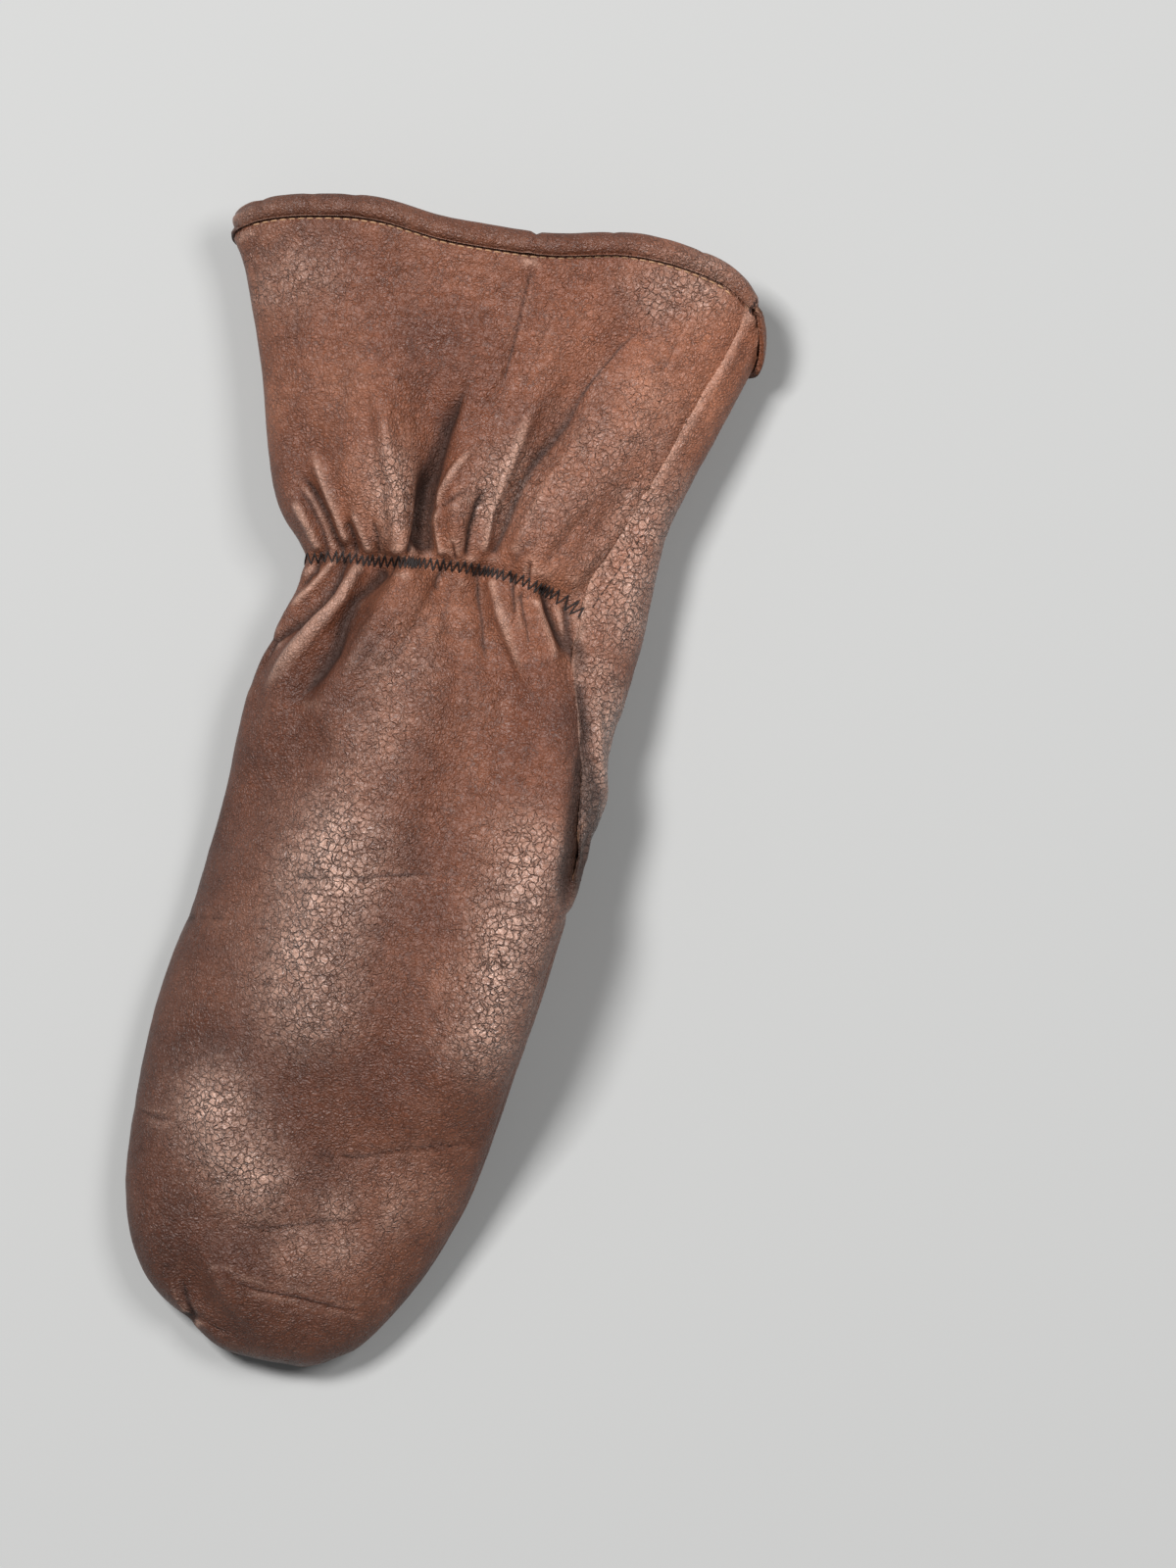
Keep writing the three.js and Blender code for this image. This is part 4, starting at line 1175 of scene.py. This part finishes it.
@dataclass
class Sides:
    """Where the mitten's sides lie, and which side of the leather a point is on."""

    step: float = 6.0
    faced_below: float = -0.05
    down_below: float = -0.3
    rows: np.ndarray | None = None
    heights: np.ndarray | None = None
    tree: BVHTree | None = None

    def measure(self, nodes: tuple[str, ...]) -> None:
        """Reads the height of the back panel's edges and gathers all the leather.

        Args:
            nodes: The CAD pieces, the back panel first.
        """
        back = vertex_array(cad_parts[nodes[0]].data) / MM
        rows, heights = [], []
        row = back[:, 1].min() + self.step / 2
        while row < back[:, 1].max():
            near = back[np.abs(back[:, 1] - row) < self.step]
            if len(near):
                rows.append(row)
                heights.append(near[:, 2].min())
            row += self.step
        self.rows, self.heights = np.array(rows), np.array(heights)
        self.tree = face_tree(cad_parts[name].data for name in nodes)

    def at(self, along: np.ndarray) -> np.ndarray:
        """Gives the height of the sides at places along the mitten, in millimetres."""
        return np.interp(along, self.rows, self.heights)

    def outside(self, places: np.ndarray, normals: np.ndarray, mouth_from: float) -> np.ndarray:
        """Tells the outer side of the leather from the flesh side.

        Args:
            places: The points.
            normals: Their normals.
            mouth_from: Past this y, in millimetres, a face that looks down may lie in the open cuff.

        Returns:
            1 for a point whose outward way leads into the open, 0 for one that faces the hand's room.
        """
        shares = np.ones(len(places))
        for index, (place, normal) in enumerate(zip(places, normals)):
            way = Vector(normal)
            start = Vector(place) + way * WALL_CLEARANCE * MM
            hit = self.tree.ray_cast(start, way, RAY_REACH)
            if hit[0] is not None and hit[1].dot(way) < self.faced_below:
                above = self._walls(start, UP)
                below = self._walls(start, -UP)
                if above and below and (above % 2 or below % 2):
                    shares[index] = 0.0
            elif place[1] > mouth_from * MM and way.z < self.down_below:
                shares[index] = 1.0 - self._walls(start, UP) % 2
        return shares

    def _walls(self, start: Vector, way: Vector) -> int:
        """Counts the leather walls that a straight way crosses.

        Args:
            start: Where it starts.
            way: Its direction.

        Returns:
            The number of walls.
        """
        count = 0
        for _ in range(WALL_CASTS):
            place, normal, _, _ = self.tree.ray_cast(start, way, RAY_REACH)
            if place is None:
                break
            count += normal.dot(way) < 0
            start = place + way * 0.02 * MM
        return count


@dataclass
class SeamFinder:
    """Measures the distance to a neighbouring piece and shares its way out of the mitten."""

    neighbour: LeatherPiece
    tree: KDTree | None = None

    def measure(self) -> None:
        """Gathers the neighbour's points."""
        self.tree = point_tree(vertex_array(self.neighbour.body.data))

    def measure_from(self, places: np.ndarray) -> tuple[np.ndarray, np.ndarray]:
        """Measures from points to the neighbour.

        Args:
            places: The points.

        Returns:
            Each point's distance to the neighbour, in millimetres, and the neighbour's way out there.
        """
        found = [self.tree.find(place) for place in places]
        gaps = np.array([near[2] for near in found]) / MM
        return gaps, self.neighbour.outward[[near[1] for near in found]]


@dataclass
class Surface:
    """The finished leather, for laying threads on."""

    tree: BVHTree

    def drop(self, x: float, y: float, from_above: bool = True) -> tuple[Vector, Vector] | None:
        """Finds the leather over or under a place on the plan.

        Args:
            x: Across the hand, in millimetres.
            y: Along the hand, in millimetres.
            from_above: Whether to look down from above or up from below.

        Returns:
            The point and its outward normal, or None off the mitten.
        """
        way = -UP if from_above else UP
        hit = self.tree.ray_cast(Vector((x * MM, y * MM, 0)) - way * RAY_REACH, way, 1.0)
        if hit[0] is None:
            return None
        return hit[0], hit[1] if hit[1].dot(way) < 0 else -hit[1]


@dataclass
class Thread:
    """A piece of sewing made of round thread."""

    name: str
    slot: str
    finish: ThreadFinish
    radius: float
    curve: bpy.types.Curve = field(init=False)

    def __post_init__(self) -> None:
        """Makes the empty curve."""
        self.curve = bpy.data.curves.new(self.name, "CURVE")
        self.curve.dimensions = "3D"
        self.curve.bevel_depth = self.radius
        self.curve.bevel_resolution = 1
        self.curve.use_fill_caps = True

    def lay(self, places: list[Vector]) -> None:
        """Lays one run of thread.

        Args:
            places: The points that it follows.
        """
        run = self.curve.splines.new("POLY")
        run.points.add(len(places) - 1)
        for point, place in zip(run.points, places):
            point.co = (*place, 1.0)

    def dress(self) -> bpy.types.Object:
        """Turns the runs into a mesh with their finish.

        Returns:
            The piece.
        """
        drawn = add_object(self.name + "_runs", self.curve)
        mesh = settled_mesh(drawn)
        bpy.data.objects.remove(drawn)
        mesh.name = self.name
        mesh.polygons.foreach_set("use_smooth", [True] * len(mesh.polygons))
        piece = add_object(self.name, mesh)
        mesh.materials.clear()
        mesh.materials.append(self.finish.build())
        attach(piece, "root")
        return piece


def along_path(path: Plan, pitch: float) -> list[tuple[float, float, float, float]]:
    """Walks a line on the plan in even steps.

    Args:
        path: The line's points, in millimetres.
        pitch: The step, in millimetres.

    Returns:
        For each step its x and y and the line's direction there.
    """
    line = np.array(path, float)
    starts = np.concatenate(([0], np.cumsum(np.linalg.norm(np.diff(line, axis=0), axis=1))))
    places = np.arange(0, starts[-1], pitch)
    here, ahead, behind = (
        np.array([np.interp(places + shift, starts, line[:, axis]) for axis in (0, 1)])
        for shift in (0, pitch, -pitch)
    )
    way = ahead - behind
    return list(zip(*here, *(way / np.hypot(*way))))


@dataclass
class WristZigzag:
    """The dark zigzag that holds the elastic across the back of the wrist."""

    surface: Surface
    pitch: float = 0.98
    parts: int = 8
    height: float = 3.6
    heights: tuple[float, float] = (0.82, 1.1)
    slip: float = 0.12
    lean: float = 0.16
    seed: int = 7
    crowded: tuple[tuple[float, float], ...] = ((-22.5, 0.4), (-9.5, 2.0), (12.8, 0.8), (28.6, 0.9))
    crowd_width: float = 1.9
    wide_from: float = 32.0
    wide_rate: float = 0.72
    wide_reach: float = 1.3
    laid: tuple[float, ...] = (0.0, 0.2, 0.4, 0.6, 0.8)
    sunk: float = -0.2
    proud: float = 0.9

    def build(self) -> bpy.types.Object:
        """Sews the zigzag.

        Returns:
            The piece.
        """
        thread = Thread("wrist_zigzag", "back_leather", ThreadFinish("dark_thread", (30, 17, 14)), 0.24 * MM)
        corners = self._corners()
        places = []
        for (x0, y0), (x1, y1) in zip(corners, corners[1:]):
            for share in self.laid:
                hit = self.surface.drop(x0 + (x1 - x0) * share, y0 + (y1 - y0) * share)
                if hit is not None:
                    rise = self.sunk if share == 0 else self.proud
                    places.append(hit[0] + hit[1] * thread.radius * rise)
        thread.lay(places)
        return thread.dress()

    def _corners(self) -> list[tuple[float, float]]:
        """Sets out the corners of the zigzag, crowded and widened in places.

        Returns:
            The corners on the plan, in millimetres.
        """
        chance = random.Random(self.seed)
        corners = []
        skip = 0.0
        for x, y, across, up in along_path(ZIGZAG_PATH, self.pitch / self.parts):
            wide = x > self.wide_from
            crowd = max(
                share * math.exp(-(((x - place) / self.crowd_width) ** 2)) for place, share in self.crowded
            )
            skip += (1 + crowd) * (self.wide_rate if wide else 1.0)
            if skip < self.parts:
                continue
            skip -= self.parts
            turn = 1 if len(corners) % 2 else -1
            reach = self.wide_reach if wide else 1.0
            side = 0.5 * turn * self.height * reach * chance.uniform(*self.heights)
            slip = chance.uniform(-self.slip, self.slip) + self.lean * turn
            corners.append((x - up * side + across * slip, y + across * side + up * slip))
        return corners


@dataclass
class StitchRow:
    """A row of short stitches along a line on the leather."""

    name: str
    slot: str
    finish: ThreadFinish
    surface: Surface
    length: float = 1.9
    pitch: float = 2.6
    radius: float = 0.27
    from_above: bool = True
    slant: float = 0.0
    profile: Plan = ((-0.5, -1.4), (-0.3, 0.35), (0.0, 0.6), (0.3, 0.35), (0.5, -1.4))

    def build(self, paths: list[Plan]) -> bpy.types.Object:
        """Sews the row.

        Args:
            paths: The lines on the plan, in millimetres.

        Returns:
            The piece.
        """
        thread = Thread(self.name, self.slot, self.finish, self.radius * MM)
        for path in paths:
            for x, y, across, up in along_path(path, self.pitch):
                self._stitch(thread, x, y, across, up)
        return thread.dress()

    def _stitch(self, thread: Thread, x: float, y: float, across: float, up: float) -> None:
        """Sews one stitch.

        Args:
            thread: The thread to lay.
            x: The middle's x, in millimetres.
            y: The middle's y, in millimetres.
            across: The row's direction in x.
            up: The row's direction in y.
        """
        turned_x = across * math.cos(self.slant) - up * math.sin(self.slant)
        turned_y = across * math.sin(self.slant) + up * math.cos(self.slant)
        places = []
        for share, proud in self.profile:
            reach = share * self.length
            hit = self.surface.drop(x + turned_x * reach, y + turned_y * reach, self.from_above)
            if hit is None:
                return
            places.append(hit[0] + hit[1] * thread.radius * proud)
        thread.lay(places)


@dataclass(frozen=True)
class Lamp:
    """A soft square lamp aimed at the mitten: where it hangs in the picture, in metres, and its power."""

    name: str
    right: float
    up: float
    high: float
    size: float
    power: float


@dataclass
class Studio:
    """The pale floor, the soft light and the camera straight above."""

    turn: float = math.radians(10.5)
    centre: tuple[float, float] = (0.0511, 0.01145)
    height: float = 2.52
    focus: float = 0.02
    view_length: float = 0.448
    film: float = 36.0
    floor_side: float = 6.0
    floor_colour: Colour = (171, 171, 170)
    lamps: tuple[Lamp, ...] = (
        Lamp("key", -1.0, 0.95, 2.55, 0.7, 98),
        Lamp("fill", 1.3, 0.7, 2.3, 0.9, 38),
    )
    room_colour: tuple[float, ...] = (0.95, 0.98, 1.0, 1.0)
    room_light: float = 0.17

    def build(self) -> None:
        """Sets up floor, lights and camera."""
        self._floor()
        for lamp in self.lamps:
            self._hang(lamp)
        world = bpy.data.worlds.new("room")
        world.use_nodes = True
        ground = world.node_tree.nodes["Background"].inputs
        ground["Color"].default_value = self.room_colour
        ground["Strength"].default_value = self.room_light
        bpy.context.scene.world = world
        self._camera()

    def _floor(self) -> None:
        """Lays the floor under the mitten."""
        plane = bmesh.new()
        bmesh.ops.create_grid(plane, x_segments=1, y_segments=1, size=self.floor_side / 2)
        mesh = bpy.data.meshes.new("floor")
        plane.to_mesh(mesh)
        plane.free()
        floor = add_object("floor", mesh)
        shader = ShaderBuilder.start("pale_floor")
        mesh.materials.append(shader.close({"Base Color": linear(*self.floor_colour), "Roughness": 0.9}))

    def _hang(self, lamp: Lamp) -> None:
        """Hangs one lamp.

        Args:
            lamp: The lamp.
        """
        light = bpy.data.lights.new(lamp.name, "AREA")
        light.size = lamp.size
        light.energy = lamp.power
        hung = add_object(lamp.name, light)
        cos, sin = math.cos(self.turn), math.sin(self.turn)
        place = Vector((lamp.right * cos - lamp.up * sin, lamp.right * sin + lamp.up * cos, lamp.high))
        hung.location = place
        hung.rotation_euler = (-place).to_track_quat("-Z", "Y").to_euler()

    def _camera(self) -> None:
        """Hangs the camera straight above, turned as in the photograph."""
        lens = bpy.data.cameras.new("camera")
        lens.lens = self.film * (self.height - self.focus) / self.view_length
        lens.clip_start = 0.1
        lens.clip_end = 20
        camera = add_object("camera", lens)
        camera.location = (*self.centre, self.height)
        camera.rotation_euler = (0, 0, self.turn)
        bpy.context.scene.camera = camera
        bpy.context.scene.view_settings.view_transform = "Standard"


def rim_line(hem: LeatherPiece) -> Plan:
    """Draws the cuff's edge.

    Args:
        hem: The hem of the back or of the palm side.

    Returns:
        The edge on the plan, in millimetres.
    """
    places = vertex_array(hem.body.data) / MM
    line = []
    for x in np.linspace(places[:, 0].min() + 0.5, places[:, 0].max() - 0.5, 40):
        near = places[np.abs(places[:, 0] - x) < 2.5]
        line.append((float(x), float(near[:, 1].max())))
    return tuple(line)


def inset_line(line: Plan, inset: float, skip_last: int = 1) -> Plan:
    """Draws a line beside another, to its right hand side.

    Args:
        line: The line on the plan.
        inset: How far to the side, in millimetres.
        skip_last: How many points are left off at its end.

    Returns:
        The line beside it.
    """
    points = np.array(line, float)
    ahead = np.gradient(points, axis=0)
    ahead /= np.linalg.norm(ahead, axis=1)[:, None]
    beside = points + inset * np.stack((ahead[:, 1], -ahead[:, 0]), axis=1)
    return tuple((float(x), float(y)) for x, y in beside[1 : len(beside) - skip_last])


def draw_together(first: LeatherPiece, second: LeatherPiece, reach: float) -> None:
    """Pulls the edges of two sewn pieces towards each other, so that a fine line is left between them.

    Args:
        first: One piece.
        second: The other piece.
        reach: How far apart the edges may lie, in millimetres.
    """
    meshes = (first.body.data, second.body.data)
    places = [vertex_array(mesh) for mesh in meshes]
    moves = []
    for own, other in ((0, 1), (1, 0)):
        tree = point_tree(places[other])
        move = np.zeros_like(places[own])
        for index, place in enumerate(places[own]):
            near = tree.find(place)
            gap = near[2] / MM
            if gap < reach:
                share = 0.5 * max(0.0, 1 - SEAM_LINE / max(gap, SEAM_LINE))
                move[index] = (np.array(near[0]) - place) * share * float(ease(reach, 0.8, np.array(gap)))
        moves.append(spread_over(edge_array(meshes[own]), move, 2))
    for mesh, place, move in zip(meshes, places, moves):
        mesh.vertices.foreach_set("co", (place + move).ravel())
        mesh.update()


def report(piece: bpy.types.Object) -> None:
    """Says how large a finished piece's mesh is."""
    triangles = sum(len(face.vertices) - 2 for face in piece.data.polygons)
    LOG.info("%s: %d triangles", piece.name, triangles)


def list_leather() -> dict[str, LeatherPiece]:
    """Lists the leather: each CAD piece, its skin, its slot, its looks and its form.

    Returns:
        The pieces by the names of their CAD pieces, the back panel first.
    """
    hem_looks = {"roughness": 0.32, "shade": 0.74, "ridge_rub_and_highlight": 0.4}
    hem = {"ripple": 0.2, "rolled": True}
    rows = (
        ("back_panel", "back_skin", "back_leather", {}, {"fine_area": True, "mouth_from": 90.0}),
        ("palm_panel", "palm_skin", "palm_leather", {}, {}),
        ("thumb_panel", "thumb_skin", "thumb_leather", {}, {"grid": Grid.EVEN}),
        ("cuff_hem_back", "hem_back_skin", "hem_leather", hem_looks, hem),
        ("cuff_hem_palm", "hem_palm_skin", "hem_palm_leather", hem_looks, hem),
    )
    return {
        node: LeatherPiece(node, name, slot, LeatherFinish(slot, **looks), **form)
        for node, name, slot, looks, form in rows
    }


def make_leather() -> tuple[dict[str, LeatherPiece], Plan]:
    """Makes, creases, sews and dresses the leather.

    Returns:
        The pieces, and the cuff's edge on the plan as it lay before the creasing.
    """
    pieces = list_leather()
    sides = Sides()
    sides.measure(tuple(pieces))
    for piece in pieces.values():
        piece.build()
        piece.turn_outward(sides)
    seam = SeamFinder(pieces["back_panel"])
    seam.measure()
    rim = rim_line(pieces["cuff_hem_back"])
    for name, piece in pieces.items():
        piece.crease(sides, seam if name == "thumb_panel" else None, rim)
    for _ in range(SEW_ROUNDS):
        for first, second, reach in SEWN:
            draw_together(pieces[first], pieces[second], reach)
    for piece in pieces.values():
        piece.dress()
        report(piece.body)
    return pieces, rim


def sew(pieces: dict[str, LeatherPiece], rim: Plan) -> None:
    """Lays the zigzag and the rows of stitches on the leather.

    Args:
        pieces: The finished leather.
        rim: The cuff's edge on the plan.
    """
    surface = Surface(face_tree(piece.body.data for piece in pieces.values()))
    report(WristZigzag(surface).build())
    tan = ThreadFinish("tan_thread", (190, 146, 110))
    dark = ThreadFinish("seam_thread", (52, 30, 22))
    upper = StitchRow("hem_stitches_back", "hem_leather", tan, surface)
    report(upper.build([inset_line(rim, STITCH_INSET)]))
    palm_rim = rim_line(pieces["cuff_hem_palm"])
    under = StitchRow("hem_stitches_palm", "hem_palm_leather", tan, surface, from_above=False)
    report(under.build([inset_line(palm_rim, STITCH_INSET, skip_last=5)]))
    joint = StitchRow("hem_joint_stitches", "hem_leather", dark, surface, 1.5, 1.1, slant=math.radians(35))
    report(joint.build([HEM_JOINT]))
    seams = StitchRow("seam_stitches", "back_leather", dark, surface, 1.3, 2.2, 0.16)
    report(seams.build([LOWER_SEAM, CUFF_SEAM]))


def main() -> None:
    """Builds the leather, the sewing and the studio."""
    logging.basicConfig(level=logging.INFO, format="%(message)s")
    sew(*make_leather())
    Studio().build()


if __name__ == "__main__":
    main()
